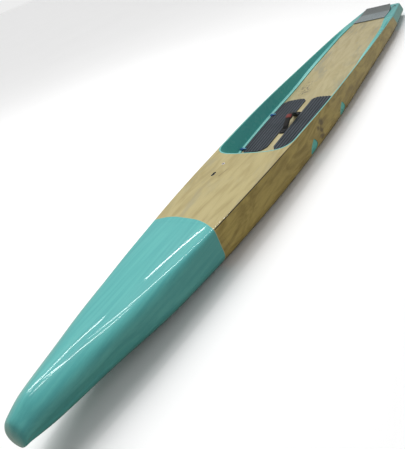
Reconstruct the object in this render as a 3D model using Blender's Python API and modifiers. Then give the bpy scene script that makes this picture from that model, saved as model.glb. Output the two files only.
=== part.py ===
"""Race paddleboard, 14 ft long and 22 in wide, with a recessed cockpit and no fin fitted.

World axes: +X towards the nose, +Y to port, +Z up. The board lies on its bottom on the floor z = 0.
Stations along the board are given as "aft": metres behind the nose tip.
"""
import math

import bmesh
import bpy
import numpy as np
from mathutils import Matrix, Vector

# Whole board
LENGTH = 4.267
GAP = 0.0003
STATION_STEP = 0.045
PORT = 1.0
STARBOARD = -1.0

# Hull lines: stations aft of the nose tip, then the value there
EDGE_HALF_WIDTH = ((0.0, 0.15, 0.5, 0.95, 1.6, 2.3, 3.0, 3.7, LENGTH),
                   (0.064, 0.096, 0.150, 0.188, 0.231, 0.251, 0.237, 0.210, 0.151))
EDGE_HEIGHT = ((0.0, 0.12, 0.5, 1.1, 1.7, 2.4, 3.2, LENGTH),
               (0.160, 0.1845, 0.192, 0.186, 0.176, 0.160, 0.136, 0.105))
KEEL_HEIGHT = ((0.0, 0.12, 0.5, 1.1, 1.8, 2.2, 3.2, LENGTH),
               (0.104, 0.082, 0.050, 0.016, 0.0, 0.0, 0.008, 0.012))
RAIL_FLARE = ((0.0, 0.3, 0.7, 1.2, LENGTH), (-0.015, -0.019, 0.012, 0.022, 0.023))
SHOULDER = ((0.0, 0.4, 0.9, 1.3, LENGTH), (0.036, 0.036, 0.024, 0.007, 0.006))
DECK_CROWN = ((0.0, 0.5, 1.0, 1.65, LENGTH), (0.006, 0.016, 0.013, 0.001, 0.001))
BILGE_RADIUS = ((0.0, 0.5, LENGTH), (0.034, 0.055, 0.055))
NOSE_ROUND = 0.026
NOSE_FULLNESS = (3.4, 2.0)
NOSE_POINT = 0.100
TAIL_CORNER = 0.022
NOSE_END = 1.05

# Joint between the lower hull and what stands on it
SPLIT_HEIGHT = ((NOSE_END, 1.35, 1.7, 2.62, 3.11, 3.58, 3.88, LENGTH),
                (0.086, 0.076, 0.066, 0.066, 0.086, 0.095, 0.1055, 0.095))

# Cockpit
RIM_FRONT = 1.680
RIM_END = 1.860
RIM_STEPS = 12
RIM_SQUARENESS = 3.5
RIM_TOP = 0.007
COCKPIT_REAR = 3.88
LINER = 0.005
WALL_LEAN = 0.012
LEDGE_RISE = 0.0053
FLOOR_HEIGHT = ((1.7, 2.62, 3.11, 3.58, COCKPIT_REAR), (0.076, 0.076, 0.096, 0.105, 0.1155))
GUNWALE_WIDTH = ((RIM_END, 2.2, 3.0, COCKPIT_REAR), (0.005, 0.004, 0.0035, 0.0035))
WALL_FOOT = ((1.7, 1.86, 2.09, 2.34, 2.66, 3.11, 3.58, COCKPIT_REAR),
             (0.187, 0.193, 0.202, 0.209, 0.208, 0.200, 0.187, 0.158))
FLOOR_EDGE = ((1.7, 1.86, 2.09, 2.34, 2.65, 3.11, 3.58, COCKPIT_REAR),
              (0.170, 0.176, 0.184, 0.187, 0.184, 0.171, 0.162, 0.128))

# Foot pads and tail pad
PAD_FRONT = 1.856
PAD_REAR = 2.545
PAD_INNER = 0.021
PAD_OUTER_FRONT = 0.173
PAD_OUTER_REAR = 0.181
PAD_THICK = 0.005
PAD_SWEEP = 0.020
PAD_CORNER = 0.048
TAIL_PAD_FRONT = 3.872
TAIL_PAD_REAR = 4.168
TAIL_PAD_HALF_FRONT = 0.128
TAIL_PAD_HALF_REAR = 0.101
KICK_FRONT = 4.00
KICK_RISE = 0.027

# Carrying handle on the centre line, with its tables by the distance aft of its middle
HANDLE_AFT = 2.204
STRAP_RISE = ((-0.135, -0.080, -0.055, -0.025, 0.0, 0.024, 0.048, 0.068, 0.084, 0.135),
              (0.0, 0.0, 0.010, 0.0235, 0.033, 0.037, 0.0275, 0.009, 0.0, 0.0))
STRAP_THICK = ((-0.135, -0.085, -0.060, 0.060, 0.085, 0.135), (0.003, 0.003, 0.009, 0.009, 0.003, 0.003))
STRAP_WIDTH = 0.036
PATCH_SPAN = (-0.020, 0.034)
PATCH_THICK = 0.0015
ANCHOR_SIZE = (0.044, 0.040, 0.0035)
ANCHOR_REACH = 0.111

# Small fittings
VENT = (1.578, -0.091)
VENT_RADIUS = 0.009
DECK_PLUG = (1.473, -0.090)
DECK_PLUG_SIZE = (0.040, 0.016)
LEASH_PLUG = (4.185, 0.126)
LEASH_RADIUS = 0.014
FITTING_DEPTH = 0.006
DRAIN_SPOTS = ((1.896, 0.181), (2.325, 0.184))
DRAIN_RADIUS = 0.0125
TAB_SIZE = (0.007, 0.024, 0.0025)
TAB_REACH = 0.018
OUTLET_STATIONS = (1.925, 2.372)
OUTLET_TOP = 0.091
OUTLET_BOTTOM = 0.030
OUTLET_HALF_LENGTH = 0.042
OUTLET_LEAN = 0.022
OUTLET_RECESS = 0.002
OUTLET_THICK = 0.004
FIN_BOX_CENTRE = 3.80
FIN_BOX_SIZE = (0.272, 0.030, 0.032)
FIN_SLOT_SIZE = (0.250, 0.0096, 0.026)

COLLECTION = "race_paddleboard"


def curve_through(table, aft):
    """Smooth value of a (stations, values) table at the station or stations aft."""
    xs, ys = (np.asarray(row, float) for row in table)
    slope = np.diff(ys) / np.diff(xs)
    tangent = np.zeros(len(xs))
    tangent[0], tangent[-1] = slope[0], slope[-1]
    same_way = slope[:-1] * slope[1:] > 0
    product = 2 * slope[:-1] * slope[1:]
    total = np.where(same_way, slope[:-1] + slope[1:], 1.0)
    tangent[1:-1] = np.where(same_way, product / total, 0.0)
    at = np.clip(np.asarray(aft, float), xs[0], xs[-1])
    left = np.clip(np.searchsorted(xs, at, side="right") - 1, 0, len(xs) - 2)
    step = xs[left + 1] - xs[left]
    u = (at - xs[left]) / step
    rise = (2 * u + 1) * (1 - u) ** 2 * ys[left] + u * u * (3 - 2 * u) * ys[left + 1]
    lean = u * (1 - u) ** 2 * tangent[left] - u * u * (1 - u) * tangent[left + 1]
    return rise + step * lean


def stations(start, end):
    """Stations from start to end, on one grid that all pieces share, close together at the tail corners."""
    last = LENGTH - TAIL_CORNER
    grid = list(np.arange(0.0, last - 0.01, STATION_STEP))
    grid += [last + TAIL_CORNER * math.sin(math.radians(turn)) for turn in (0, 20, 40, 60, 78)]
    return [start] + [aft for aft in grid if start + 0.002 < aft < end - 0.0003] + [end]


def edge_half_width(aft):
    """Half width at the deck edge, rounded in plan at the tail's corners."""
    tail = np.clip((LENGTH - np.asarray(aft, float)) / TAIL_CORNER, 0.0, 1.0)
    return curve_through(EDGE_HALF_WIDTH, aft) - TAIL_CORNER * (1 - np.sqrt(1 - (1 - tail) ** 2))


def nose_shares(aft):
    """Shares of the full width and height: next to nothing at the nose tip, all of it behind the round."""
    ahead = 1 - min(1.0, aft / NOSE_ROUND)
    return [max(0.02, (1 - ahead ** power) ** (1 / power)) for power in NOSE_FULLNESS]


def outer_section(aft):
    """Half outline of the hull at one station, from the keel out and up to the deck centre."""
    edge = float(edge_half_width(aft))
    deck = float(curve_through(EDGE_HEIGHT, aft))
    keel = float(curve_through(KEEL_HEIGHT, aft))
    crown = float(curve_through(DECK_CROWN, aft))
    widest = edge + float(curve_through(RAIL_FLARE, aft))
    radius = min(float(curve_through(BILGE_RADIUS, aft)), 0.8 * widest, 0.45 * (deck - keel))
    side = Vector((edge - widest, deck - keel - radius))
    shoulder = min(float(curve_through(SHOULDER, aft)), 0.7 * edge, 0.75 * side.length)
    points = [(0.0, keel), (0.5 * (widest - radius), keel)]
    for step in range(7):
        angle = math.radians(-90 + 15 * step)
        round_y, round_z = radius * math.cos(angle), radius * math.sin(angle)
        points.append((widest - radius + round_y, keel + radius + round_z))
    low = Vector((edge, deck)) - side.normalized() * shoulder
    across = edge - shoulder
    high = Vector((across, deck + crown * (1 - (across / edge) ** 2.5)))
    corner = Vector((edge, deck))
    for step in range(5):
        u = step / 4
        points.append(tuple((1 - u) ** 2 * low + 2 * u * (1 - u) * corner + u * u * high))
    for share in (0.75, 0.5, 0.25, 0.0):
        y = across * share
        points.append((y, deck + crown * (1 - (y / edge) ** 2.5)))
    wide, high = nose_shares(aft)
    return [(y * wide, NOSE_POINT + (z - NOSE_POINT) * high) for y, z in points]


def side_at(aft, height):
    """Half width of the outer side at a height above the bilge round."""
    section = outer_section(aft)
    for (y0, z0), (y1, z1) in zip(section[2:], section[3:]):
        if z0 <= height <= z1 and z1 > z0:
            return y0 + (y1 - y0) * (height - z0) / (z1 - z0)
    return section[8][0]


def upper_side(aft, height):
    """Points of the outer side from a height up to the end of the shoulder."""
    above = [point for point in outer_section(aft)[9:14]]
    return [(side_at(aft, height), height)] + above


def world(aft, y, z):
    """World position of a point given by its station aft, its offset to port and its height."""
    return Vector((LENGTH / 2 - aft, y, z))


def material(name, colour, roughness, metallic=0.0):
    """Plain material of one finish, made once and shared."""
    found = bpy.data.materials.get(name)
    if found:
        return found
    made = bpy.data.materials.new(name)
    made.use_nodes = True
    made.diffuse_color = (*colour, 1.0)
    shader = made.node_tree.nodes["Principled BSDF"]
    shader.inputs["Base Color"].default_value = (*colour, 1.0)
    shader.inputs["Roughness"].default_value = roughness
    shader.inputs["Metallic"].default_value = metallic
    return made


def teal_paint():
    """Glossy light teal paint of the nose, the cockpit walls and the outlets."""
    return material("teal_paint", (0.13, 0.47, 0.44), 0.18)


def deck_veneer():
    """Pale clear-coated wood of the deck and the cockpit floor."""
    return material("deck_veneer", (0.50, 0.43, 0.24), 0.35)


def rail_veneer():
    """Darker clear-coated wood of the rails."""
    return material("rail_veneer", (0.25, 0.18, 0.07), 0.35)


def bottom_finish():
    """Clear-coated wood of the bottom."""
    return material("bottom_veneer", (0.42, 0.35, 0.20), 0.35)


def grey_foam():
    """Charcoal foam of the foot pads."""
    return material("pad_foam", (0.075, 0.082, 0.105), 0.85)


def tail_foam():
    """Lighter grey foam of the tail pad."""
    return material("tail_foam", (0.22, 0.25, 0.25), 0.85)


def black_webbing():
    """Black padded webbing of the carrying handle."""
    return material("black_webbing", (0.012, 0.010, 0.009), 0.8)


def red_patch():
    """Dull red cloth of the patch on the handle."""
    return material("red_patch", (0.27, 0.045, 0.03), 0.7)


def blue_plastic():
    """Blue moulded plastic of the drain plugs."""
    return material("blue_plastic", (0.02, 0.09, 0.28), 0.35)


def black_plastic():
    """Black moulded plastic of the fin box, the anchors and the deck plug."""
    return material("black_plastic", (0.02, 0.02, 0.022), 0.45)


def pale_plastic():
    """Pale moulded plastic of the vent and the leash plug."""
    return material("pale_plastic", (0.62, 0.62, 0.60), 0.4)


def add_object(name, mesh, finish, smooth_angle=35.0):
    """Object for a mesh, linked to the board's collection, with its finish and smooth shading."""
    obj = bpy.data.objects.new(name, mesh)
    bpy.data.collections[COLLECTION].objects.link(obj)
    if finish:
        mesh.materials.append(finish)
    mesh.shade_smooth()
    mesh.set_sharp_from_angle(angle=math.radians(smooth_angle))
    return obj


def as_cutter(obj):
    """Move an object to the cutters, which the board leaves out."""
    bpy.data.collections[COLLECTION].objects.unlink(obj)
    bpy.data.collections["cutters"].objects.link(obj)
    obj.hide_render = True
    obj.display_type = "WIRE"
    return obj


def face_outwards(bm):
    """Turn all faces of a closed solid outwards."""
    bmesh.ops.recalc_face_normals(bm, faces=bm.faces)
    if bm.calc_volume(signed=True) < 0:
        bmesh.ops.reverse_faces(bm, faces=bm.faces)


def loft(name, rings, finish):
    """Closed solid skinned over a list of rings of equal point count, capped at both ends.

    Each side panel is split from its higher point ahead to its lower point behind, so that two
    pieces that lie face to face keep an even gap where the face twists.
    """
    mesh = bpy.data.meshes.new(name)
    bm = bmesh.new()
    rows = [[bm.verts.new(point) for point in ring] for ring in rings]
    count = len(rows[0])
    for before, after in zip(rows, rows[1:]):
        for i in range(count):
            j = (i + 1) % count
            a, b, c, d = before[i], before[j], after[j], after[i]
            if a.co.z >= b.co.z:
                bm.faces.new((a, b, c))
                bm.faces.new((a, c, d))
            else:
                bm.faces.new((a, b, d))
                bm.faces.new((b, c, d))
    bm.faces.new(rows[0])
    bm.faces.new(rows[-1])
    face_outwards(bm)
    bm.to_mesh(mesh)
    bm.free()
    return add_object(name, mesh, finish)


def outline_solid(name, outline, thickness, place, finish):
    """Flat outline thickened about its own plane and set in the world by a matrix."""
    curve = bpy.data.curves.new(name + "_outline", "CURVE")
    curve.dimensions = "2D"
    curve.fill_mode = "BOTH"
    curve.extrude = thickness / 2
    spline = curve.splines.new("POLY")
    spline.points.add(len(outline) - 1)
    spline.points.foreach_set("co", [value for x, y in outline for value in (x, y, 0.0, 1.0)])
    spline.use_cyclic_u = True
    source = bpy.data.objects.new(name + "_outline", curve)
    bpy.data.collections[COLLECTION].objects.link(source)
    graph = bpy.context.evaluated_depsgraph_get()
    mesh = bpy.data.meshes.new_from_object(source.evaluated_get(graph))
    bpy.data.objects.remove(source)
    mesh.name = name
    bm = bmesh.new()
    bm.from_mesh(mesh)
    bmesh.ops.remove_doubles(bm, verts=bm.verts, dist=0.00001)
    bm.transform(place)
    face_outwards(bm)
    bm.to_mesh(mesh)
    bm.free()
    return add_object(name, mesh, finish)


def turned_solid(name, profile, finish, segments=32):
    """Solid turned about its own Z axis from a profile that runs down its outer side."""
    mesh = bpy.data.meshes.new(name)
    mesh.from_pydata([(x, 0.0, z) for x, z in profile], [(i, i + 1) for i in range(len(profile) - 1)], [])
    obj = add_object(name, mesh, finish)
    screw = obj.modifiers.new("turned", "SCREW")
    screw.axis = "Z"
    screw.angle = math.tau
    screw.steps = segments
    screw.render_steps = segments
    screw.use_merge_vertices = True
    screw.merge_threshold = 0.00001
    return obj


def cut(target, cutter):
    """Take a cutter out of a target."""
    modifier = target.modifiers.new("cut_" + cutter.name, "BOOLEAN")
    modifier.operation = "DIFFERENCE"
    modifier.solver = "EXACT"
    modifier.object = cutter


def box_cutter(name, centre, size):
    """Box shaped cutter."""
    bpy.ops.mesh.primitive_cube_add(size=1.0, location=centre)
    obj = bpy.context.object
    obj.name = name
    obj.scale = size
    bpy.ops.object.transform_apply(location=False, rotation=False, scale=True)
    for holder in obj.users_collection:
        holder.objects.unlink(obj)
    bpy.data.collections["cutters"].objects.link(obj)
    obj.hide_render = True
    obj.display_type = "WIRE"
    return obj


def oblong(length, width):
    """Corners of an oblong centred on its own origin."""
    x, y = length / 2, width / 2
    return [(-x, -y), (x, -y), (x, y), (-x, y)]


def rounded_outline(corners, radius, steps=5):
    """Closed outline whose corners are rounded with the given radius."""
    points = []
    for before, corner, after in zip(corners[-1:] + corners[:-1], corners, corners[1:] + corners[:1]):
        here = Vector(corner)
        start = (Vector(before) - here).normalized() * radius
        end = (Vector(after) - here).normalized() * radius
        for step in range(steps + 1):
            u = step / steps
            points.append(tuple(here + (1 - u) ** 2 * start + u * u * end))
    return points


def flat_place(aft, y, z):
    """Matrix that lays an outline drawn as (aft, port) offsets on a level at a station."""
    turn = Matrix(((-1, 0, 0), (0, 1, 0), (0, 0, 1))).to_4x4()
    return Matrix.Translation(world(aft, y, z)) @ turn


def mirrored(half):
    """Whole ring from a half outline that starts and ends on the centre line."""
    return half + [(-y, z) for y, z in reversed(half[1:-1])]


def nose_section():
    """Painted nose, from the stem to the joint with the foredeck."""
    tip = NOSE_ROUND * (1 - np.cos(np.linspace(0, math.pi / 2, 9)))
    along = list(tip) + stations(NOSE_ROUND, NOSE_END)[1:]
    rings = [[world(aft, y, z) for y, z in mirrored(outer_section(aft))] for aft in along]
    return loft("nose_section", rings, teal_paint())


def hull_bottom():
    """Lower hull with its round bilges, from the nose joint to the transom."""
    rings = []
    for aft in stations(NOSE_END + GAP, LENGTH):
        top = float(curve_through(SPLIT_HEIGHT, aft))
        half = outer_section(aft)[:9] + [(side_at(aft, top), top), (0.0, top)]
        rings.append([world(aft, y, z) for y, z in mirrored(half)])
    return loft("hull_bottom", rings, bottom_finish())


def rim_point(step, front, half):
    """Point (aft, y) of a rounded plan curve of the cockpit's front, from its side in to the middle."""
    turn = math.radians(90 * step / RIM_STEPS)
    power = 2 / RIM_SQUARENESS
    return RIM_END - (RIM_END - front) * math.sin(turn) ** power, half * math.cos(turn) ** power


def rim_walk():
    """Steps round the cockpit's front from the port side to the starboard side."""
    return [(step, PORT) for step in range(RIM_STEPS + 1)] + \
           [(step, STARBOARD) for step in reversed(range(RIM_STEPS))]


def wall_lines(grow=0.0):
    """Low and high plan curve of the outer face of the cockpit's front wall, as (front, half width)."""
    foot = float(curve_through(WALL_FOOT, RIM_END)) + LINER - 0.0005
    gunwale = float(edge_half_width(RIM_END)) - float(curve_through(GUNWALE_WIDTH, RIM_END)) - 0.0005
    low = (RIM_FRONT + RIM_TOP + WALL_LEAN - LINER - grow, foot + grow)
    return low, (RIM_FRONT - grow, gunwale + grow)


def front_low():
    """Height of the underside of the cockpit's front wall."""
    return float(curve_through(SPLIT_HEIGHT, RIM_END)) + 2 * GAP


def cockpit_cutter():
    """Cutter with the rounded front of the cockpit, open towards its rear."""
    low_line, high_line = wall_lines(0.0005)
    rings = []
    for line, lift, level in ((low_line, -0.02, "low"), (low_line, 0.0, "low"),
                              (high_line, 0.0, "high"), (high_line, 0.04, "high")):
        ring = []
        for step, side in reversed(rim_walk()):
            aft, y = rim_point(step, *line)
            z = front_low() if level == "low" else float(curve_through(EDGE_HEIGHT, aft))
            ring.append(world(aft, side * y, z + lift))
        behind = world(RIM_END + 0.02, line[1], ring[-1].z)
        rings.append(ring + [behind, Vector((behind.x, -behind.y, behind.z))])
    return as_cutter(loft("cockpit_cutter", rings, None))


def foredeck():
    """Wood foredeck block with the rounded front of the cockpit cut out of its rear."""
    rings = []
    for aft in stations(NOSE_END + GAP, RIM_END):
        low = float(curve_through(SPLIT_HEIGHT, aft)) + GAP
        half = [(0.0, low)] + upper_side(aft, low) + outer_section(aft)[14:]
        rings.append([world(aft, y, z) for y, z in mirrored(half)])
    deck = loft("foredeck", rings, deck_veneer())
    cut(deck, cockpit_cutter())
    return deck


def rail(name, side):
    """Side of the board beside the cockpit, with its gunwale."""
    rings = []
    for aft in stations(RIM_END + GAP, COCKPIT_REAR):
        low = float(curve_through(SPLIT_HEIGHT, aft)) + GAP
        edge = float(edge_half_width(aft))
        top = float(curve_through(EDGE_HEIGHT, aft))
        gunwale = edge - float(curve_through(GUNWALE_WIDTH, aft))
        foot = float(curve_through(WALL_FOOT, aft)) + LINER
        outside = upper_side(aft, low)[:4] + [(edge - 0.002, top)]
        half = outside + [(gunwale, top), (foot, low)]
        rings.append([world(aft, side * y, z) for y, z in half])
    return loft(name, rings, rail_veneer())


def tail_deck():
    """Deck panel behind the cockpit, under the tail pad."""
    rings = []
    for aft in stations(COCKPIT_REAR + GAP, LENGTH):
        low = float(curve_through(SPLIT_HEIGHT, aft)) + GAP
        half = [(0.0, low)] + upper_side(aft, low)[:1] + outer_section(aft)[13:]
        rings.append([world(aft, y, z) for y, z in mirrored(half)])
    return loft("tail_deck", rings, teal_paint())


def ledge_front(foot, inner):
    """Station of the ledge's inner line in the middle of the cockpit's front."""
    return RIM_FRONT + RIM_TOP + WALL_LEAN + foot - inner


def cockpit_floor():
    """Wood floor panel of the cockpit with its rounded front."""
    edge = float(curve_through(FLOOR_EDGE, RIM_END))
    front = ledge_front(float(curve_through(WALL_FOOT, RIM_END)), edge) + GAP
    plan = [rim_point(step, front, edge) for step in reversed(range(1, RIM_STEPS))]
    plan += [(aft, float(curve_through(FLOOR_EDGE, aft))) for aft in stations(RIM_END, COCKPIT_REAR)]
    rings = []
    for aft, half in plan:
        low = float(curve_through(SPLIT_HEIGHT, aft)) + GAP
        top = float(curve_through(FLOOR_HEIGHT, aft))
        rings.append([world(aft, y, z) for y, z in ((half, low), (half, top), (-half, top), (-half, low))])
    return loft("cockpit_floor", rings, deck_veneer())


def side_liner(name, side):
    """Painted cockpit wall with the ledge along its foot."""
    rings = []
    for aft in stations(RIM_END + GAP, COCKPIT_REAR):
        low = float(curve_through(SPLIT_HEIGHT, aft)) + GAP
        top = float(curve_through(EDGE_HEIGHT, aft))
        floor = float(curve_through(FLOOR_HEIGHT, aft))
        ledge = min(floor + LEDGE_RISE, top - 0.0002)
        gunwale = float(edge_half_width(aft)) - float(curve_through(GUNWALE_WIDTH, aft)) - 0.0005
        foot = float(curve_through(WALL_FOOT, aft))
        inner = float(curve_through(FLOOR_EDGE, aft)) + GAP
        half = [(foot + LINER - 0.0005, low), (gunwale, top), (gunwale - RIM_TOP, top),
                (foot, ledge), (inner, ledge), (inner, low)]
        rings.append([world(aft, side * y, z) for y, z in half])
    return loft(name, rings, teal_paint())


def front_liner():
    """Painted front wall of the cockpit with its ledge, swept round the two wide corners."""
    foot = float(curve_through(WALL_FOOT, RIM_END))
    inner = float(curve_through(FLOOR_EDGE, RIM_END)) + GAP
    low_line, high_line = wall_lines()
    crest = (high_line[0] + RIM_TOP, high_line[1] - RIM_TOP)
    ledge = FLOOR_HEIGHT[1][0] + LEDGE_RISE
    foot_line = (RIM_FRONT + RIM_TOP + WALL_LEAN, foot)
    inner_line = (ledge_front(foot, inner), inner)
    section = ((low_line, front_low()), (high_line, None), (crest, None),
               (foot_line, ledge), (inner_line, ledge), (inner_line, front_low()))
    rings = []
    for step, side in rim_walk():
        ring = []
        for line, level in section:
            aft, y = rim_point(step, *line)
            z = float(curve_through(EDGE_HEIGHT, aft)) if level is None else level
            ring.append(world(aft, side * y, z))
        rings.append(ring)
    return loft("front_liner", rings, teal_paint())


def foot_pad(name, side):
    """Foam foot pad with rounded corners and slightly swept ends."""
    corners = [(PAD_FRONT + PAD_SWEEP, PAD_INNER), (PAD_FRONT, PAD_OUTER_FRONT),
               (PAD_REAR - PAD_SWEEP, PAD_OUTER_REAR), (PAD_REAR, PAD_INNER)]
    outline = [(aft - HANDLE_AFT, side * y) for aft, y in rounded_outline(corners, PAD_CORNER)]
    level = FLOOR_HEIGHT[1][0] + GAP + PAD_THICK / 2
    return outline_solid(name, outline, PAD_THICK, flat_place(HANDLE_AFT, 0.0, level), grey_foam())


def tail_pad():
    """Foam tail pad that follows the tail deck and rises to a kick at its rear."""
    rings = []
    for aft in stations(TAIL_PAD_FRONT, TAIL_PAD_REAR):
        share = (aft - TAIL_PAD_FRONT) / (TAIL_PAD_REAR - TAIL_PAD_FRONT)
        half = TAIL_PAD_HALF_FRONT + (TAIL_PAD_HALF_REAR - TAIL_PAD_HALF_FRONT) * share ** 3
        deck = deck_height(aft, 0.0) + GAP
        climb = min(max((aft - KICK_FRONT) / (TAIL_PAD_REAR - KICK_FRONT), 0.0), 1.0)
        top = deck + PAD_THICK + KICK_RISE * climb ** 1.5
        rings.append([world(aft, y, z) for y, z in ((half, deck), (half - 0.002, top),
                                                    (-half + 0.002, top), (-half, deck))])
    return loft("tail_pad", rings, tail_foam())


def strap_outline(start, end, low, high, steps=36):
    """Side outline, as (aft, up) offsets, of what lies between two shares of the strap's thickness.

    Each limit is a share of the thickness and a distance added to it.
    """
    lower, upper = [], []
    for offset in np.linspace(start, end, steps + 1):
        ahead, behind = (float(curve_through(STRAP_RISE, offset + step)) for step in (0.001, -0.001))
        base = Vector((offset, float(curve_through(STRAP_RISE, offset))))
        normal = Vector((behind - ahead, 0.002)).normalized()
        thick = float(curve_through(STRAP_THICK, offset))
        lower.append(tuple(base + normal * (low[0] * thick + low[1])))
        upper.append(tuple(base + normal * (high[0] * thick + high[1])))
    return lower + upper[::-1]


def upright_place(aft, z):
    """Matrix that stands an outline drawn as (aft, up) offsets on the centre line."""
    turn = Matrix(((-1, 0, 0), (0, 0, 1), (0, 1, 0))).to_4x4()
    return Matrix.Translation(world(aft, 0.0, z)) @ turn


def handle():
    """Padded strap with its red patch, and the plates that hold its flat ends down."""
    level = FLOOR_HEIGHT[1][0] + GAP
    place = upright_place(HANDLE_AFT, level)
    start, end = STRAP_RISE[0][0], STRAP_RISE[0][-1]
    strap = strap_outline(start, end, (0.0, 0.0), (1.0, 0.0), 54)
    outline_solid("handle_strap", strap, STRAP_WIDTH, place, black_webbing())
    patch = strap_outline(*PATCH_SPAN, (1.0, GAP), (1.0, GAP + PATCH_THICK), 16)
    outline_solid("handle_patch", patch, STRAP_WIDTH, place, red_patch())
    length, width, height = ANCHOR_SIZE
    corners = oblong(length, width)
    base = level + STRAP_THICK[1][0] + GAP
    for name, way in (("handle_anchor_front", -1), ("handle_anchor_rear", 1)):
        spot = flat_place(HANDLE_AFT + way * ANCHOR_REACH, 0.0, base + height / 2)
        outline_solid(name, rounded_outline(corners, 0.010), height, spot, black_plastic())


def deck_height(aft, y):
    """Height of the foredeck or tail deck at a point."""
    edge = float(edge_half_width(aft))
    crown = float(curve_through(DECK_CROWN, aft))
    return float(curve_through(EDGE_HEIGHT, aft)) + crown * (1 - (abs(y) / edge) ** 2.5)


def plug(name, spot, radius, deck, finish, depth=FITTING_DEPTH):
    """Round fitting with a dished top, sunk in a pocket of the deck."""
    aft, y = spot
    top = deck_height(aft, y)
    reach, floor = radius + GAP, -depth - GAP
    column = [(0.0, 0.02), (reach, 0.02), (reach, floor), (0.0, floor)]
    pocket = turned_solid(name + "_pocket", column, None)
    pocket.location = world(aft, y, top)
    as_cutter(pocket)
    cut(deck, pocket)
    profile = [(0.0, -0.0015), (0.45 * radius, -0.0015), (0.55 * radius, 0.0010), (0.85 * radius, 0.0014),
               (radius, 0.0004), (radius, -depth), (0.0, -depth)]
    fitting = turned_solid(name, profile, finish)
    fitting.location = world(aft, y, top)
    return fitting


def oval_plug(name, spot, size, deck, finish, depth=FITTING_DEPTH):
    """Long oval insert along the board, sunk in a pocket of the deck a little below its face."""
    aft, y = spot
    top = deck_height(aft, y)
    length, width = size
    outlines = []
    for grow in (GAP, 0.0):
        across = width / 2 + grow
        reach = length / 2 - width / 2
        turns = [math.pi * step / 8 for step in range(9)]
        front = [(-reach - across * math.sin(turn), across * math.cos(turn)) for turn in turns]
        rear = [(reach + across * math.sin(turn), -across * math.cos(turn)) for turn in turns]
        outlines.append(front + rear)
    above = flat_place(aft, y, top + 0.01 - depth / 2)
    cut(deck, as_cutter(outline_solid(name + "_pocket", outlines[0], depth + 0.02, above, None)))
    sunk = flat_place(aft, y, top - depth / 2 - 0.0005)
    return outline_solid(name, outlines[1], depth - 0.0012, sunk, finish)


def drain_plug(name, spot, side):
    """Blue drain plug with a finger tab, on the ledge along the cockpit wall."""
    aft, middle = spot
    base = float(curve_through(FLOOR_HEIGHT, aft)) + LEDGE_RISE + GAP
    profile = [(0.0, 0.007), (0.55 * DRAIN_RADIUS, 0.0068), (0.9 * DRAIN_RADIUS, 0.005),
               (DRAIN_RADIUS, 0.003), (DRAIN_RADIUS, 0.0), (0.0, 0.0)]
    body = turned_solid(name, profile, blue_plastic(), 24)
    body.location = world(aft, side * middle, base)
    tab_spot = world(aft, side * (middle - TAB_REACH), base + 0.0035)
    bpy.ops.mesh.primitive_cube_add(size=1.0, location=tab_spot)
    tab = bpy.context.object
    tab.name = name + "_tab"
    tab.scale = TAB_SIZE
    bpy.ops.object.transform_apply(location=False, rotation=False, scale=True)
    for holder in tab.users_collection:
        holder.objects.unlink(tab)
    bpy.data.collections["cutters"].objects.link(tab)
    tab.hide_render = True
    tab.display_type = "WIRE"
    union = body.modifiers.new("tab", "BOOLEAN")
    union.operation = "UNION"
    union.solver = "EXACT"
    union.object = tab
    return body


def drop_outline(grow):
    """Drop shaped outline with its point up and a lean aft, as (aft, up) offsets from its middle."""
    half = (OUTLET_TOP - OUTLET_BOTTOM) / 2
    points = []
    for step in range(28):
        turn = math.tau * (step + 0.5) / 28
        z = math.cos(turn)
        across = 1.3 * math.sin(turn) * math.sin(turn / 2) ** 0.9
        points.append((across * (OUTLET_HALF_LENGTH + grow) + OUTLET_LEAN * z, z * (half + grow)))
    return points


def rail_band(name, aft, side, deep, shallow):
    """Slab that follows the outer side of the board between two depths under its surface."""
    rings = []
    reach = OUTLET_HALF_LENGTH + OUTLET_LEAN + 0.012
    for station in np.linspace(aft - reach, aft + reach, 12):
        line = [Vector(point) for point in outer_section(station)[3:10]]
        ring = []
        for depth, points in ((deep, line), (shallow, line[::-1])):
            for i, point in enumerate(points):
                ahead = points[min(i + 1, len(points) - 1)] - points[max(i - 1, 0)]
                way = Vector((ahead.y, -ahead.x)).normalized() * (1 if points is line else -1)
                ring.append(point - way * depth)
        rings.append([world(station, side * point.x, point.y) for point in ring])
    return loft(name, rings, teal_paint())


def drain_outlet(name, aft, side, neighbours):
    """Drop shaped inlay where the cockpit drains, set a little below the face of the rail."""
    height = (OUTLET_TOP + OUTLET_BOTTOM) / 2
    turn = Matrix(((-1, 0, 0), (0, 0, 1), (0, 1, 0))).to_4x4()
    place = Matrix.Translation(world(aft, side * 0.25, height)) @ turn
    deep = OUTLET_RECESS + OUTLET_THICK
    pocket = rail_band(name + "_pocket", aft, side, deep + GAP, -0.004)
    hole = as_cutter(outline_solid(name + "_hole", drop_outline(GAP), 0.2, place, None))
    keep = pocket.modifiers.new("drop", "BOOLEAN")
    keep.operation = "INTERSECT"
    keep.solver = "EXACT"
    keep.object = hole
    as_cutter(pocket)
    for neighbour in neighbours:
        cut(neighbour, pocket)
    inlay = rail_band(name, aft, side, deep, OUTLET_RECESS)
    drop = as_cutter(outline_solid(name + "_drop", drop_outline(0.0), 0.2, place, None))
    shape = inlay.modifiers.new("drop", "BOOLEAN")
    shape.operation = "INTERSECT"
    shape.solver = "EXACT"
    shape.object = drop
    return inlay


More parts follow.
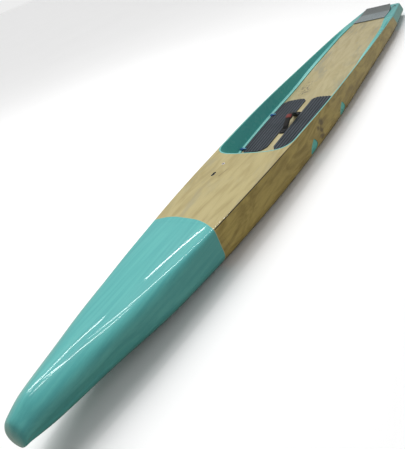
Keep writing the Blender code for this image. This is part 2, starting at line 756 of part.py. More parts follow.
def fin_box(hull):
    """Fin box flush with the bottom, with its open slot facing down."""
    keel = float(curve_through(KEEL_HEIGHT, FIN_BOX_CENTRE)) + 0.0005
    length, width, depth = FIN_BOX_SIZE
    centre = world(FIN_BOX_CENTRE, 0.0, keel + depth / 2)
    pocket = box_cutter("fin_box_pocket", centre - Vector((0, 0, 0.01)),
                        (length + 2 * GAP, width + 2 * GAP, depth + 0.02 + 2 * GAP))
    cut(hull, pocket)
    corners = oblong(length, width)
    box = outline_solid("fin_box", corners, depth, Matrix.Translation(centre), black_plastic())
    slot_length, slot_width, slot_depth = FIN_SLOT_SIZE
    slot_centre = centre - Vector((0, 0, depth / 2 - slot_depth / 2 + 0.005))
    slot = box_cutter("fin_slot", slot_centre, (slot_length, slot_width, slot_depth + 0.01))
    cut(box, slot)
    return box


def start():
    """Empty scene with one collection for the board and one for the cutters."""
    for obj in list(bpy.data.objects):
        bpy.data.objects.remove(obj)
    for name in (COLLECTION, "cutters"):
        collection = bpy.data.collections.new(name)
        bpy.context.scene.collection.children.link(collection)


def main():
    """Build every piece of the board."""
    start()
    nose_section()
    hull = hull_bottom()
    deck = foredeck()
    tail = tail_deck()
    cockpit_floor()
    front_liner()
    tail_pad()
    handle()
    fin_box(hull)
    plug("vent_plug", VENT, VENT_RADIUS, deck, pale_plastic())
    oval_plug("deck_plug", DECK_PLUG, DECK_PLUG_SIZE, deck, black_plastic())
    plug("leash_plug", LEASH_PLUG, LEASH_RADIUS, tail, pale_plastic(), 0.005)
    for word, side in (("port", PORT), ("starboard", STARBOARD)):
        board_side = rail("rail_" + word, side)
        side_liner("liner_" + word, side)
        foot_pad("foot_pad_" + word, side)
        for place, spot in zip(("front", "rear"), DRAIN_SPOTS):
            drain_plug("drain_plug_%s_%s" % (word, place), spot, side)
        for place, aft in zip(("front", "rear"), OUTLET_STATIONS):
            drain_outlet("drain_outlet_%s_%s" % (word, place), aft, side, (hull, board_side))


main()
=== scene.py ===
"""Looks of the race paddleboard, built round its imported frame.

World axes are those of the frame: +X towards the nose, +Y to port, +Z up, in metres, with the floor at
z = 0. Stations along the board are given as "aft": metres behind the nose tip.
"""
from __future__ import annotations

import logging
import math
from dataclasses import dataclass
from enum import Enum
from typing import Sequence

import bpy
import numpy as np
from mathutils import Matrix, Vector

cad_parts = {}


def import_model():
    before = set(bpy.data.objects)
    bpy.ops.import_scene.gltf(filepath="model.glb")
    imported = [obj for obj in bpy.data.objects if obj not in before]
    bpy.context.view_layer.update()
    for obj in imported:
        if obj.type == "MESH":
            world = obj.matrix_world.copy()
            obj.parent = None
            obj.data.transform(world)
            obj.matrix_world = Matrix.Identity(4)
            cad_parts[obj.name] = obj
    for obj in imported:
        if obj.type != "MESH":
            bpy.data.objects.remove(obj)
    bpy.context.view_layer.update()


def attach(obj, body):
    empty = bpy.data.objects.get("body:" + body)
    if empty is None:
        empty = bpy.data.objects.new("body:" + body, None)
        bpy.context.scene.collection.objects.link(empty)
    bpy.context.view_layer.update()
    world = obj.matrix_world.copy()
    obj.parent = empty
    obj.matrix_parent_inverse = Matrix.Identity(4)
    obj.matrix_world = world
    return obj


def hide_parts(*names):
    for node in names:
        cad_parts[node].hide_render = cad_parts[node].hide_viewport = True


Array = np.ndarray
Mesh = bpy.types.Mesh
Piece = bpy.types.Object
Node = bpy.types.Node
Socket = bpy.types.NodeSocket
Tree = bpy.types.NodeTree
Pair = tuple[float, float]
Colour = tuple[float, float, float]
Triple = tuple[float, float, float]
Trio = tuple[Colour, Colour, Colour]  # pale, deep and grey of a wood

GAP = 0.0003  # clearance between neighbouring pieces
BODY = "root"
LOG = logging.getLogger("race_paddleboard")


class Side(Enum):
    """Side of the board, by the sign of its Y axis."""

    PORT = 1.0
    STARBOARD = -1.0

    @property
    def word(self) -> str:
        """The side as pieces are named for it."""
        return self.name.lower()


class Slot(Enum):
    """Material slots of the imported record."""

    TEAL = "teal_paint"
    DECK = "deck_veneer"
    RAIL = "rail_veneer"
    BOTTOM = "bottom_veneer"
    PAD = "pad_foam"
    TAIL = "tail_foam"
    WEBBING = "black_webbing"
    PATCH = "red_patch"
    BLUE = "blue_plastic"
    BLACK = "black_plastic"
    PALE = "pale_plastic"


# Shapes


def fractions(count: int) -> Array:
    """Even shares from 0 to 1, both ends included."""
    return np.linspace(0.0, 1.0, count)


def turns(count: int) -> Array:
    """Even angles once round a circle."""
    return np.arange(count) * math.tau / count


def stacked(*values: Array | float) -> Array:
    """Values spread to one shape, as the entries of a new last axis."""
    return np.stack(np.broadcast_arrays(*values), axis=-1)


def smooth_step(low: float, high: float, value: Array) -> Array:
    """Value eased from 0 at low to 1 at high: 3 t squared less 2 t cubed of its share t between them."""
    share = np.clip((value - low) / (high - low), 0.0, 1.0)
    return share * share * (3 - 2 * share)


def even_stations(start: float, end: float, step: float) -> Array:
    """Stations from start to end, at most a step apart."""
    return np.linspace(start, end, max(2, int(math.ceil((end - start) / step)) + 1))


def rounded_corners(points: Array, radii: Sequence[float], steps: int = 5, closed: bool = True) -> Array:
    """Round the corners of many polygons at once.

    Each corner becomes a parabola that leaves the side before it and reaches the side after it one
    radius away from the corner, and never further than 0.45 of that side.

    Args:
        points: Corners, as an array (polygon, corner, axis).
        radii: One radius for each corner.
        steps: Spans of each rounded corner.
        closed: Whether the last corner joins the first.

    Returns:
        Points of the rounded polygons, as an array (polygon, point, axis).
    """
    before = np.roll(points, 1, axis=1) - points
    after = np.roll(points, -1, axis=1) - points
    share = fractions(steps + 1)[None, :, None]
    stretches = []
    for corner, radius in enumerate(radii):
        here = points[:, corner:corner + 1]
        end_point = not closed and corner in (0, len(radii) - 1)
        if radius <= 0 or end_point:
            stretches.append(here)
            continue
        arms = []
        for way in (before, after):
            arm = way[:, corner:corner + 1]
            reach = np.linalg.norm(arm, axis=2, keepdims=True)
            arms.append(arm / np.maximum(reach, 1e-9) * np.minimum(radius, 0.45 * reach))
        stretches.append(here + (1 - share) ** 2 * arms[0] + share ** 2 * arms[1])
    return np.concatenate(stretches, axis=1)


def grid_quads(rows: int, columns: int, wrap: bool = True, ring: bool = False) -> Array:
    """Corner numbers of the quads of a grid of points.

    Args:
        rows: Rows of points.
        columns: Points of a row.
        wrap: Whether the last column joins the first.
        ring: Whether the last row joins the first.

    Returns:
        Four corner numbers for each quad.
    """
    row, column = np.meshgrid(np.arange(rows if ring else rows - 1), np.arange(columns if wrap else columns - 1),
                              indexing="ij")
    beside, beyond = (column + 1) % columns, (row + 1) % rows
    return stacked(row * columns + column, row * columns + beside, beyond * columns + beside,
                   beyond * columns + column).reshape(-1, 4)


def facing_out(points: Array, quads: Array) -> bool:
    """Whether the quads of a closed shape face outwards, from the sign of the volume that they enclose.

    Args:
        points: Points, as an array (point, axis).
        quads: Corner numbers of its quads.

    Returns:
        True if they do.
    """
    corner = points[quads] - points.mean(axis=0)
    normal = np.cross(corner[:, 2] - corner[:, 0], corner[:, 3] - corner[:, 1])
    return float((corner.mean(axis=1) * normal).sum()) > 0


def make_mesh(points: Array, faces: list[list[int]], uv: Array | None = None, sharp: float = 32.0) -> Mesh:
    """Mesh from points and faces, smooth but for its sharp edges.

    Args:
        points: Points, as an array (point, axis).
        faces: Corner numbers of each face, in order.
        uv: Map position of each point, or None.
        sharp: Angle in degrees past which an edge is sharp.

    Returns:
        The new mesh.
    """
    mesh = bpy.data.meshes.new("shape")
    mesh.from_pydata(points.tolist(), [], faces)
    if uv is not None:
        layer = mesh.uv_layers.new(name="surface")
        corner = np.empty(len(mesh.loops), np.int32)
        mesh.loops.foreach_get("vertex_index", corner)
        layer.data.foreach_set("uv", uv[corner].ravel())
    mesh.shade_smooth()
    mesh.set_sharp_from_angle(angle=math.radians(sharp))
    return mesh


def loft(rings: Array, uv: Array | None = None, sharp: float = 32.0, ring: bool = False) -> Mesh:
    """Closed solid skinned over rings of points, with flat caps unless the last ring joins the first.

    Args:
        rings: Points, as an array (ring, point, axis).
        uv: Map position of each point, or None.
        sharp: Angle in degrees past which an edge is sharp.
        ring: Whether the last ring joins the first.

    Returns:
        The new mesh, facing outwards.
    """
    rows, columns = rings.shape[:2]
    points = rings.reshape(-1, 3)
    quads = grid_quads(rows, columns, ring=ring)
    first, last = np.arange(columns)[::-1], np.arange(columns) + (rows - 1) * columns
    if not facing_out(points, quads):
        quads, first, last = quads[:, ::-1], first[::-1], last[::-1]
    caps = [] if ring else [first.tolist(), last.tolist()]
    return make_mesh(points, quads.tolist() + caps, None if uv is None else uv.reshape(-1, 2), sharp)


def slab(top: Array, foot: float, uv: Array, sharp: float) -> Mesh:
    """Closed slab: a grid of points on top, a wall round its border and one flat face below.

    Args:
        top: Upper points, as an array (row, column, axis).
        foot: Height of the foot of the wall.
        uv: Map position of each upper point.
        sharp: Angle in degrees past which an edge is sharp.

    Returns:
        The new mesh, facing outwards.
    """
    rows, columns = top.shape[:2]
    number = np.arange(rows * columns).reshape(rows, columns)
    border = np.concatenate([number[0, :-1], number[:-1, -1], number[-1, :0:-1], number[:0:-1, 0]])
    upper, flat = top.reshape(-1, 3), uv.reshape(-1, 2)
    lower = upper[border].copy()
    lower[:, 2] = foot
    below = np.arange(len(border)) + rows * columns
    wall = stacked(np.roll(border, -1), border, below, np.roll(below, -1))
    points = np.concatenate([upper, lower])
    quads, base = np.concatenate([grid_quads(rows, columns, wrap=False), wall]), below
    if not facing_out(points, quads):
        quads, base = quads[:, ::-1], below[::-1]
    return make_mesh(points, quads.tolist() + [base.tolist()], np.concatenate([flat, flat[border]]), sharp)


def turned(profile: Array, centre: Sequence[float], segments: int = 48, ring: bool = False) -> Mesh:
    """Solid of revolution about an upright axis: each profile point (radius, height) is carried round it.

    Args:
        profile: Points (radius, height) from the middle of the top out and down to the foot.
        centre: World position of the axis at height 0.
        segments: Points round the axis.
        ring: Whether the profile is closed, as a ring's is.

    Returns:
        The new mesh, facing outwards.
    """
    turn, radius = turns(segments), profile[:, :1]
    points = stacked(radius * np.cos(turn), radius * np.sin(turn), profile[:, 1:])
    return loft(points + np.asarray(centre, float), ring=ring)


def push_in(outline: Array, inset: float) -> Array:
    """Outline drawn in along its normals.

    Args:
        outline: Its points (x, y).
        inset: How far, or less than 0 to push it out.

    Returns:
        The moved points.
    """
    way = np.roll(outline, -1, axis=0) - np.roll(outline, 1, axis=0)
    normal = stacked(way[:, 1], -way[:, 0]) / np.linalg.norm(way, axis=1, keepdims=True)
    if ((outline - outline.mean(axis=0)) * normal).sum() < 0:
        normal = -normal
    return outline - inset * normal


def plate(outline: Array, levels: Sequence[Pair]) -> Mesh:
    """Flat plate: an outline round its own middle, drawn in by an inset at each height.

    Args:
        outline: World points (x, y) of its outline, without repeats.
        levels: Pairs (inset, height), from the foot to the middle of the top.

    Returns:
        The new mesh.
    """
    rings = [np.concatenate([push_in(outline, inset), np.full((len(outline), 1), height)], axis=1)
             for inset, height in levels]
    return loft(np.stack(rings))


def oblong_outline(centre: Pair, size: Pair, corner: float, steps: int = 10) -> Array:
    """Rectangle with round corners.

    Args:
        centre: World x and y of its middle.
        size: Its length and width.
        corner: Radius of its corners.
        steps: Spans of a corner.

    Returns:
        World points (x, y) of its outline, without repeats.
    """
    half = np.array(size) / 2 - corner
    turn = np.linspace(0, math.pi / 2, steps + 1)
    quarter = corner * stacked(np.cos(turn), np.sin(turn))
    points = [(quarter[::order] + half) * np.array(sign)
              for sign, order in (((1, 1), 1), ((-1, 1), -1), ((-1, -1), 1), ((1, -1), -1))]
    points = np.concatenate(points) + np.array(centre)
    repeats = np.linalg.norm(points - np.roll(points, 1, axis=0), axis=1) < 1e-7
    return points[~repeats]


def screw(centre: Sequence[float], radius: float = 0.0036) -> Mesh:
    """Domed screw head with a round socket.

    Args:
        centre: World position of the middle of its rim.
        radius: Radius of the head.

    Returns:
        The new mesh.
    """
    rise = 0.35 * radius
    profile = np.array([[0.0, -0.15 * radius], [0.36 * radius, -0.15 * radius], [0.42 * radius, 0.92 * rise],
                        [0.62 * radius, 0.8 * rise], [0.85 * radius, 0.42 * rise], [0.97 * radius, 0.08 * rise],
                        [radius, -0.1 * radius], [0.9 * radius, -0.2 * radius], [0.0, -0.22 * radius]])
    return turned(profile, centre, 28)


def quarter_drop(inside: Array, radius: float) -> Array:
    """How far a rounded edge lies below its face at a distance inside its border."""
    share = np.clip(1 - inside / radius, 0.0, 1.0)
    return radius * (1 - np.sqrt(1 - share * share))


def end_shares(length: float, border: float, count: int) -> Array:
    """Shares along a length, close together within a border at both ends.

    Args:
        length: The whole length.
        border: Length of the border.
        count: Points from border to border.

    Returns:
        The shares, rising from 0 to 1.
    """
    edge = border / length * (1 - np.cos(np.linspace(0, math.pi / 2, 5)))
    middle = np.linspace(border / length, 1 - border / length, count)[1:-1]
    return np.concatenate([edge, middle, 1 - edge[::-1]])


def groove_rows(width: float, pitch: float, groove: float, border: float) -> tuple[Array, Array]:
    """Shares across a width at which a grooved pad needs a row, and the groove's depth there from 0 to 1.

    Args:
        width: Width of the pad.
        pitch: Distance between grooves.
        groove: Width of a groove.
        border: Width of the rounded border, which is kept free of grooves.

    Returns:
        The shares, rising, and the depth at each.
    """
    count = int((width - 3 * border) / pitch)
    centre = (width - (count - 1) * pitch) / 2 + np.arange(count) * pitch
    across = np.array([-0.5, -0.42, -0.2, 0.0, 0.2, 0.42, 0.5]) * groove
    depth = np.array([0.0, 0.12, 0.92, 1.0, 0.92, 0.12, 0.0])
    edge = border * (1 - np.cos(np.linspace(0, math.pi / 2, 5)))
    plain = np.concatenate([edge, centre[:-1] + pitch / 2, width - edge])
    place = np.concatenate([(centre[:, None] + across).ravel(), plain])
    depths = np.concatenate([np.tile(depth, count), np.zeros(len(plain))])
    order = np.argsort(place)
    return place[order] / width, depths[order]


def linked(mesh: Mesh) -> Piece:
    """New object for a mesh, linked into the scene.

    Args:
        mesh: The mesh.

    Returns:
        The object, which has the mesh's name.
    """
    piece = bpy.data.objects.new(mesh.name, mesh)
    bpy.context.scene.collection.objects.link(piece)
    return piece


def joined(meshes: Sequence[Mesh]) -> Mesh:
    """One mesh from several, with their sharp edges and map kept.

    Args:
        meshes: The meshes.

    Returns:
        The first of them, which now holds them all.
    """
    parts = [linked(mesh) for mesh in meshes]
    with bpy.context.temp_override(active_object=parts[0], selected_editable_objects=parts):
        bpy.ops.object.join()
    mesh = parts[0].data
    bpy.data.objects.remove(parts[0])
    return mesh


def carved(mesh: Mesh, cutters: Sequence[Mesh]) -> Mesh:
    """Mesh with each cutter's solid taken out of it.

    Args:
        mesh: A closed solid.
        cutters: Closed solids that reach into it.

    Returns:
        A new mesh.
    """
    target, tools = linked(mesh), [linked(cutter) for cutter in cutters]
    for tool in tools:
        cut = target.modifiers.new("cut", "BOOLEAN")
        cut.operation, cut.solver, cut.object = "DIFFERENCE", "EXACT", tool
    graph = bpy.context.evaluated_depsgraph_get()
    result = bpy.data.meshes.new_from_object(target.evaluated_get(graph))
    for tool in tools + [target]:
        bpy.data.objects.remove(tool)
    result.shade_smooth()
    result.set_sharp_from_angle(angle=math.radians(32.0))
    return result


def show(name: str, mesh: Mesh, finish: Finish, replaced: Sequence[str] = ()) -> Piece:
    """Object for a finished mesh, which rides on the board.

    Args:
        name: Name of the piece.
        mesh: Its mesh, in place.
        finish: What it is dressed in.
        replaced: Frame nodes that it stands for.

    Returns:
        The new object.
    """
    mesh.name = name
    piece = linked(mesh)
    piece.name = name
    mesh.materials.clear()
    mesh.materials.append(finish.material())
    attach(piece, BODY)
    if replaced:
        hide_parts(*replaced)
    LOG.info("%s: %d points, %d faces", name, len(mesh.vertices), len(mesh.polygons))
    return piece


# Lines of the hull


@dataclass(frozen=True)
class HullLine:
    """Line along the board, given at a few stations."""

    stations: tuple[float, ...]  # metres aft of the nose tip, rising
    values: tuple[float, ...]  # value of the line there

    def at(self, aft: Array | float) -> Array:
        """Value of the line: a cubic in each span, whose slope at a station is the harmonic mean of the
        slopes beside it, or none where they differ in sign, so that the line never overshoots.

        Args:
            aft: Any stations.

        Returns:
            The value at each.
        """
        xs, ys = np.array(self.stations), np.array(self.values)
        slope = np.diff(ys) / np.diff(xs)
        tangent = np.zeros(len(xs))
        tangent[0], tangent[-1] = slope[0], slope[-1]
        same_way = slope[:-1] * slope[1:] > 0
        total = np.where(same_way, slope[:-1] + slope[1:], 1.0)
        tangent[1:-1] = np.where(same_way, 2 * slope[:-1] * slope[1:] / total, 0.0)
        where = np.clip(np.asarray(aft, float), xs[0], xs[-1])
        left = np.clip(np.searchsorted(xs, where, side="right") - 1, 0, len(xs) - 2)
        step = xs[left + 1] - xs[left]
        u = (where - xs[left]) / step
        rise = (2 * u + 1) * (1 - u) ** 2 * ys[left] + u * u * (3 - 2 * u) * ys[left + 1]
        return rise + step * (u * (1 - u) ** 2 * tangent[left] - u * u * (1 - u) * tangent[left + 1])


# Points of each stretch of the half section: bottom, bilge, side below and above the joint, shoulder, deck.
FLAT, BILGE, UNDER, OVER, BEND, TOP = 7, 12, 4, 6, 12, 18
SPLIT = FLAT + BILGE + UNDER  # number of the first point above the joint with the lower hull
CREST = SPLIT + OVER + BEND // 2  # number of the point where the deck seam runs


@dataclass(frozen=True)
class HullForm:
    """Outer form of the board, from its stem to its transom."""

    length: float = 4.267  # its length
    # Half width at the deck edge
    edge_line: HullLine = HullLine((0.0, 0.15, 0.5, 0.95, 1.6, 2.3, 3.0, 3.7, 4.267),
                                   (0.0635, 0.0987, 0.15, 0.188, 0.231, 0.251, 0.237, 0.21, 0.151))
    # Height of the deck edge
    height_line: HullLine = HullLine((0.0, 0.12, 0.3, 0.5, 1.1, 1.7, 2.4, 3.2, 4.267),
                                     (0.148, 0.171, 0.177, 0.19, 0.186, 0.176, 0.16, 0.136, 0.105))
    # Height of the bottom
    keel_line: HullLine = HullLine((0.0, 0.12, 0.5, 1.1, 1.8, 2.2, 3.2, 4.267),
                                   (0.112, 0.084, 0.05, 0.016, 0.0, 0.0, 0.008, 0.012))
    # How much wider the side is at its foot than at the deck edge
    flare_line: HullLine = HullLine((0.0, 0.3, 0.7, 1.2, 4.267), (-0.015, -0.019, 0.012, 0.022, 0.023))
    # Share of the half width that the round of the shoulder takes
    dome_line: HullLine = HullLine((0.0, 0.1, 0.2, 0.3, 0.45, 0.6, 0.9, 1.3, 2.3, 4.267),
                                   (0.97, 0.95, 0.85, 0.7, 0.5, 0.34, 0.13, 0.033, 0.024, 0.032))
    # Rise of the deck's middle above its edge
    crown_line: HullLine = HullLine((0.0, 0.12, 0.3, 0.5, 1.0, 1.65, 4.267),
                                    (0.032, 0.042, 0.036, 0.018, 0.013, 0.001, 0.001))
    # Height of the joint with the lower hull
    split_line: HullLine = HullLine((1.05, 1.35, 1.7, 2.62, 3.11, 3.58, 3.88, 4.267),
                                    (0.086, 0.076, 0.066, 0.066, 0.086, 0.095, 0.1055, 0.095))
    bilge_line: HullLine = HullLine((0.0, 0.5, 4.267), (0.0355, 0.055, 0.055))  # radius of the bilge
    nose_rounds: Pair = (0.025, 0.036)  # length of the nose's rounding in plan and in profile
    nose_fullness: Pair = (3.5, 2.05)  # power of the superellipse of each
    nose_point: float = 0.1  # height that the profile rounds towards
    tail_corner: float = 0.022  # radius of the tail's corners in plan
    crown_power: float = 2.5  # how flat the deck's crown is

    def x(self, aft: Array | float) -> Array | float:
        """World x of a station."""
        return self.length / 2 - aft

    def world(self, aft: Array | float, y: Array | float, z: Array | float) -> Array:
        """World position of points given by station, offset to port and height."""
        return stacked(self.x(aft), y, z)

    def edge(self, aft: Array) -> Array:
        """Half width at the deck edge, with quarter circles in plan at the tail corners."""
        tail = np.clip((self.length - aft) / self.tail_corner, 0.0, 1.0)
        return self.edge_line.at(aft) - self.tail_corner * (1 - np.sqrt(1 - (1 - tail) ** 2))

    def nose_shares(self, aft: Array) -> Array:
        """Shares of the full width and height: superellipse quarters from the tip over each round."""
        ahead = 1 - np.clip(aft[..., None] / np.array(self.nose_rounds), 0.0, 1.0)
        return np.maximum((1 - ahead ** self.nose_fullness) ** (1 / np.array(self.nose_fullness)), 0.012)

    def bilge(self, aft: Array, widest: Array, height: Array) -> Array:
        """Radius of the round bilge under a side of some height."""
        return np.minimum(np.minimum(self.bilge_line.at(aft), 0.8 * widest), 0.45 * height)

    def deck(self, aft: Array | float, y: Array | float) -> Array:
        """Height of the deck: its edge, and a crown that falls off with a power of the offset."""
        share = np.clip(np.abs(y) / self.edge(aft), 0.0, 1.0)
        return self.height_line.at(aft) + self.crown_line.at(aft) * (1 - share ** self.crown_power)

    def side(self, aft: Array, z: Array) -> Array:
        """Half width at a height: the straight side down to the bilge, and its quarter circle below.

        Args:
            aft: Stations.
            z: Heights.

        Returns:
            The half width at each.
        """
        edge, deck, keel = self.edge(aft), self.height_line.at(aft), self.keel_line.at(aft)
        widest = edge + self.flare_line.at(aft)
        radius = self.bilge(aft, widest, deck - keel)
        top = keel + radius
        straight = widest + (edge - widest) * (z - top) / (deck - top)
        inside = np.sqrt(np.maximum(radius ** 2 - (top - z) ** 2, 0.0))
        return np.where(z > top, straight, widest - radius + inside)

    def half_section(self, stations: Array) -> tuple[Array, Array]:
        """Half section: flat bottom, round bilge, straight side, parabola of the shoulder, crowned deck. The
        parabola takes a share of the half width, from nearly all of it at the stem to a narrow shoulder.

        Args:
            stations: Stations aft of the nose tip.

        Returns:
            Points (y, z) from the keel out and up to the deck centre, as an array (station, point, 2), and
            the distance of each from the deck seam along the skin, more than 0 on the deck.
        """
        aft = stations[:, None]
        edge, deck, keel = self.edge(aft), self.height_line.at(aft), self.keel_line.at(aft)
        widest = edge + self.flare_line.at(aft)
        radius = self.bilge(aft, widest, deck - keel)
        foot = keel + radius
        slant = np.hypot(edge - widest, deck - foot)
        across = edge - self.dome_line.at(aft) * edge
        shoulder = np.minimum(edge - across, 0.5 * slant)
        low = deck - shoulder * (deck - foot) / slant
        joint = np.clip(self.split_line.at(aft), foot + 0.002, low - 0.004)
        bottom = stacked(fractions(FLAT) * (widest - radius), keel)
        turn = np.radians(np.linspace(-90, 0, BILGE + 1))[1:]
        bilge = stacked(widest - radius + radius * np.cos(turn), foot + radius * np.sin(turn))
        upright = np.concatenate([foot + fractions(UNDER + 1)[1:] * (joint - foot),
                                  joint + GAP + fractions(OVER + 1)[:-1] * (low - joint - GAP)], axis=1)
        side = stacked(widest + (edge - widest) * (upright - foot) / (deck - foot), upright)
        crest = self.deck(aft, across)
        share = fractions(BEND + 1)[None, :, None]
        bend = ((1 - share) ** 2 * stacked(edge + shoulder * (widest - edge) / slant, low)
                + 2 * share * (1 - share) * stacked(edge, (deck + crest) / 2) + share ** 2 * stacked(across, crest))
        inward = across * (1 - fractions(TOP + 1)[1:])
        points = np.concatenate([bottom, bilge, side, bend, stacked(inward, self.deck(aft, inward))], axis=1)
        middle = np.array((0.0, self.nose_point))
        points = middle + (points - middle) * self.nose_shares(aft)
        run = np.cumsum(np.linalg.norm(np.diff(points, axis=1), axis=2), axis=1)
        girth = np.concatenate([np.zeros_like(edge), run], axis=1)
        return points, girth - girth[:, CREST:CREST + 1]

    def ring(self, stations: Array, half: Array, girth: Array) -> tuple[Array, Array]:
        """Whole rings and their map from half sections that start and end on the centre line.

        Args:
            stations: Station of each ring.
            half: Points (y, z), as an array (ring, point, 2).
            girth: Distance from the deck seam of each point.

        Returns:
            World points, and map positions (station, girth).
        """
        section = np.concatenate([half, half[:, -2:0:-1] * np.array((-1.0, 1.0))], axis=1)
        reach = np.concatenate([girth, girth[:, -2:0:-1]], axis=1)
        aft = stations[:, None]
        return self.world(aft, section[..., 0], section[..., 1]), stacked(aft, reach)


HULL = HullForm()


# Finishes


class Pen:
    """Short hand for drawing a node tree."""

    def __init__(self, tree: Tree) -> None:
        """Keep the tree that is drawn in."""
        self.tree = tree

    def feed(self, node: Node, inputs: dict[int | str, object]) -> Node:
        """Feed inputs of a node: a socket is linked, and a number or colour is set on the node's own socket.

        Args:
            node: The node.
            inputs: What each input gets, by its name or number.

        Returns:
            The same node.
        """
        for key, value in inputs.items():
            socket = node.inputs[key]
            if isinstance(value, Socket):
                self.tree.links.new(value, socket)
            elif isinstance(value, tuple) and socket.type == "RGBA":
                socket.default_value = (*value, 1.0)
            else:
                socket.default_value = value
        return node

    def add(self, kind: str, inputs: dict[int | str, object] | None = None, **settings: object) -> Node:
        """New node of a kind, with its settings made and its inputs fed.

        Args:
            kind: Kind of node, without its prefix.
            inputs: What its inputs get.
            settings: Its settings.

        Returns:
            The node.
        """
        node = self.tree.nodes.new("ShaderNode" + kind)
        for key, value in settings.items():
            setattr(node, key, value)
        return self.feed(node, inputs or {})

    def math(self, operation: str, *values: object) -> Socket:
        """Result of a Math node."""
        return self.add("Math", dict(enumerate(values)), operation=operation).outputs[0]

    def both(self, first: object, second: object) -> Socket:
        """Product of two masks."""
        return self.math("MULTIPLY", first, second)

    def either(self, first: object, second: object) -> Socket:
        """Greater of two masks."""
        return self.math("MAXIMUM", first, second)

    def less(self, first: object, second: object) -> Socket:
        """First value less the second."""
        return self.math("SUBTRACT", first, second)

    def line(self, value: object, slope: object, start: object) -> Socket:
        """Value times a slope, added to a start."""
        return self.math("MULTIPLY_ADD", value, slope, start)

    def ease(self, value: object, low: float, high: float, start: float = 0.0, end: float = 1.0) -> Socket:
        """Value eased from start at low to end at high."""
        inputs = {"Value": value, "From Min": low, "From Max": high, "To Min": start, "To Max": end}
        return self.add("MapRange", inputs, interpolation_type="SMOOTHSTEP").outputs["Result"]

    def near(self, value: object, centre: float, reach: float, soft: float) -> Socket:
        """Mask that is 1 where a value lies within reach of a centre, with soft edges."""
        return self.ease(self.math("ABSOLUTE", self.less(value, centre)), reach, reach + soft, 1.0, 0.0)

    def away(self, values: Sequence[object], centre: Pair, reach: Pair) -> Socket:
        """Square of the distance of two values from a centre, in shares of a reach each way.

        Args:
            values: The two values.
            centre: Their values at the centre.
            reach: The reach each way.

        Returns:
            The square.
        """
        squares = [self.math("POWER", self.math("DIVIDE", self.less(value, middle), span), 2.0)
                   for value, middle, span in zip(values, centre, reach)]
        return self.math("ADD", *squares)

    def mix(self, share: object, first: object, second: object) -> Socket:
        """Second colour laid over the first by a share."""
        return self.add("Mix", {0: share, 6: first, 7: second}, data_type="RGBA").outputs[2]

    def scaled(self, vector: object, scale: Triple, shift: Triple = (0.0, 0.0, 0.0)) -> Socket:
        """Vector scaled and shifted by a Mapping node."""
        return self.add("Mapping", {"Vector": vector, "Scale": scale, "Location": shift}).outputs[0]

    def noise(self, vector: object, scale: float, detail: float = 2.0, roughness: float = 0.5,
              distortion: float = 0.0) -> Socket:
        """Value of a Noise node."""
        return self.add("TexNoise", {"Vector": vector, "Scale": scale, "Detail": detail, "Roughness": roughness,
                                     "Distortion": distortion}).outputs[0]

    def bump(self, height: object, distance: float, strength: float, normal: Socket | None = None) -> Socket:
        """Normal raised by a height."""
        inputs = {"Height": height, "Distance": distance, "Strength": strength}
        return self.add("Bump", inputs if normal is None else {**inputs, "Normal": normal}).outputs[0]

    def place(self) -> Socket:
        """Object coordinates."""
        return self.add("TexCoord").outputs["Object"]

    def parts(self, vector: object) -> tuple[Socket, ...]:
        """The three values of a vector."""
        return tuple(self.add("SeparateXYZ", {0: vector}).outputs)

    def surface(self) -> tuple[Socket, ...]:
        """The two values of the piece's own map."""
        return self.parts(self.add("UVMap", uv_map="surface").outputs[0])[:2]

    def camera_ray(self) -> Socket:
        """Mask that is 1 for what the camera sees directly."""
        return self.add("LightPath").outputs["Is Camera Ray"]

    def effect(self, effect: Effect, **inputs: object) -> bpy.types.NodeOutputs:
        """Place a shared shader group in the tree with its own values.

        Args:
            effect: The effect that it draws.
            inputs: What its inputs get.

        Returns:
            Its outputs.
        """
        node = self.tree.nodes.new("ShaderNodeGroup")
        node.node_tree = effect.tree()
        return self.feed(node, inputs).outputs

    def veneer(self, vector: Socket, wood: Trio, figure: float, smudge: float) -> bpy.types.NodeOutputs:
        """Outputs of the veneer effect in the pale, deep and grey colours of a wood."""
        return self.effect(Effect.VENEER, Vector=vector, Pale=wood[0], Deep=wood[1], Grey=wood[2], Figure=figure,
                           Smudge=smudge)


class Effect(Enum):
    """Shader groups that several finishes share."""

    VENEER = "veneer_figure"
    SKIN_RIPPLE = "coat_ripple"
    GRIME = "handling_marks"
    FOAM = "closed_cell_foam"
    WEAVE = "plain_weave"
    MOULDED = "moulded_grain"

    def tree(self) -> Tree:
        """Node tree of the group, made on first use.

        Returns:
            The tree.
        """
        found = bpy.data.node_groups.get(self.value)
        if found:
            return found
        tree = bpy.data.node_groups.new(self.value, "ShaderNodeTree")
        {Effect.VENEER: draw_veneer, Effect.SKIN_RIPPLE: draw_ripple, Effect.GRIME: draw_grime,
         Effect.FOAM: draw_foam, Effect.WEAVE: draw_weave, Effect.MOULDED: draw_moulded}[self](tree)
        return tree


def open_group(tree: Tree, inputs: dict[str, Colour | float | None],
               outputs: dict[str, str]) -> tuple[Pen, bpy.types.NodeOutputs, Node]:
    """Give a group its named sockets.

    Args:
        tree: The group's tree.
        inputs: Value of each input by name: a colour, a number, or None for a vector.
        outputs: Kind of each output, by name.

    Returns:
        A pen for the tree, what its inputs give, and its output node.
    """
    for name, value in inputs.items():
        kind = "Vector" if value is None else "Color" if isinstance(value, tuple) else "Float"
        socket = tree.interface.new_socket(name, in_out="INPUT", socket_type="NodeSocket" + kind)
        if value is not None:
            socket.default_value = (*value, 1.0) if kind == "Color" else value
    for name, kind in outputs.items():
        tree.interface.new_socket(name, in_out="OUTPUT", socket_type="NodeSocket" + kind)
    return Pen(tree), tree.nodes.new("NodeGroupInput").outputs, tree.nodes.new("NodeGroupOutput")


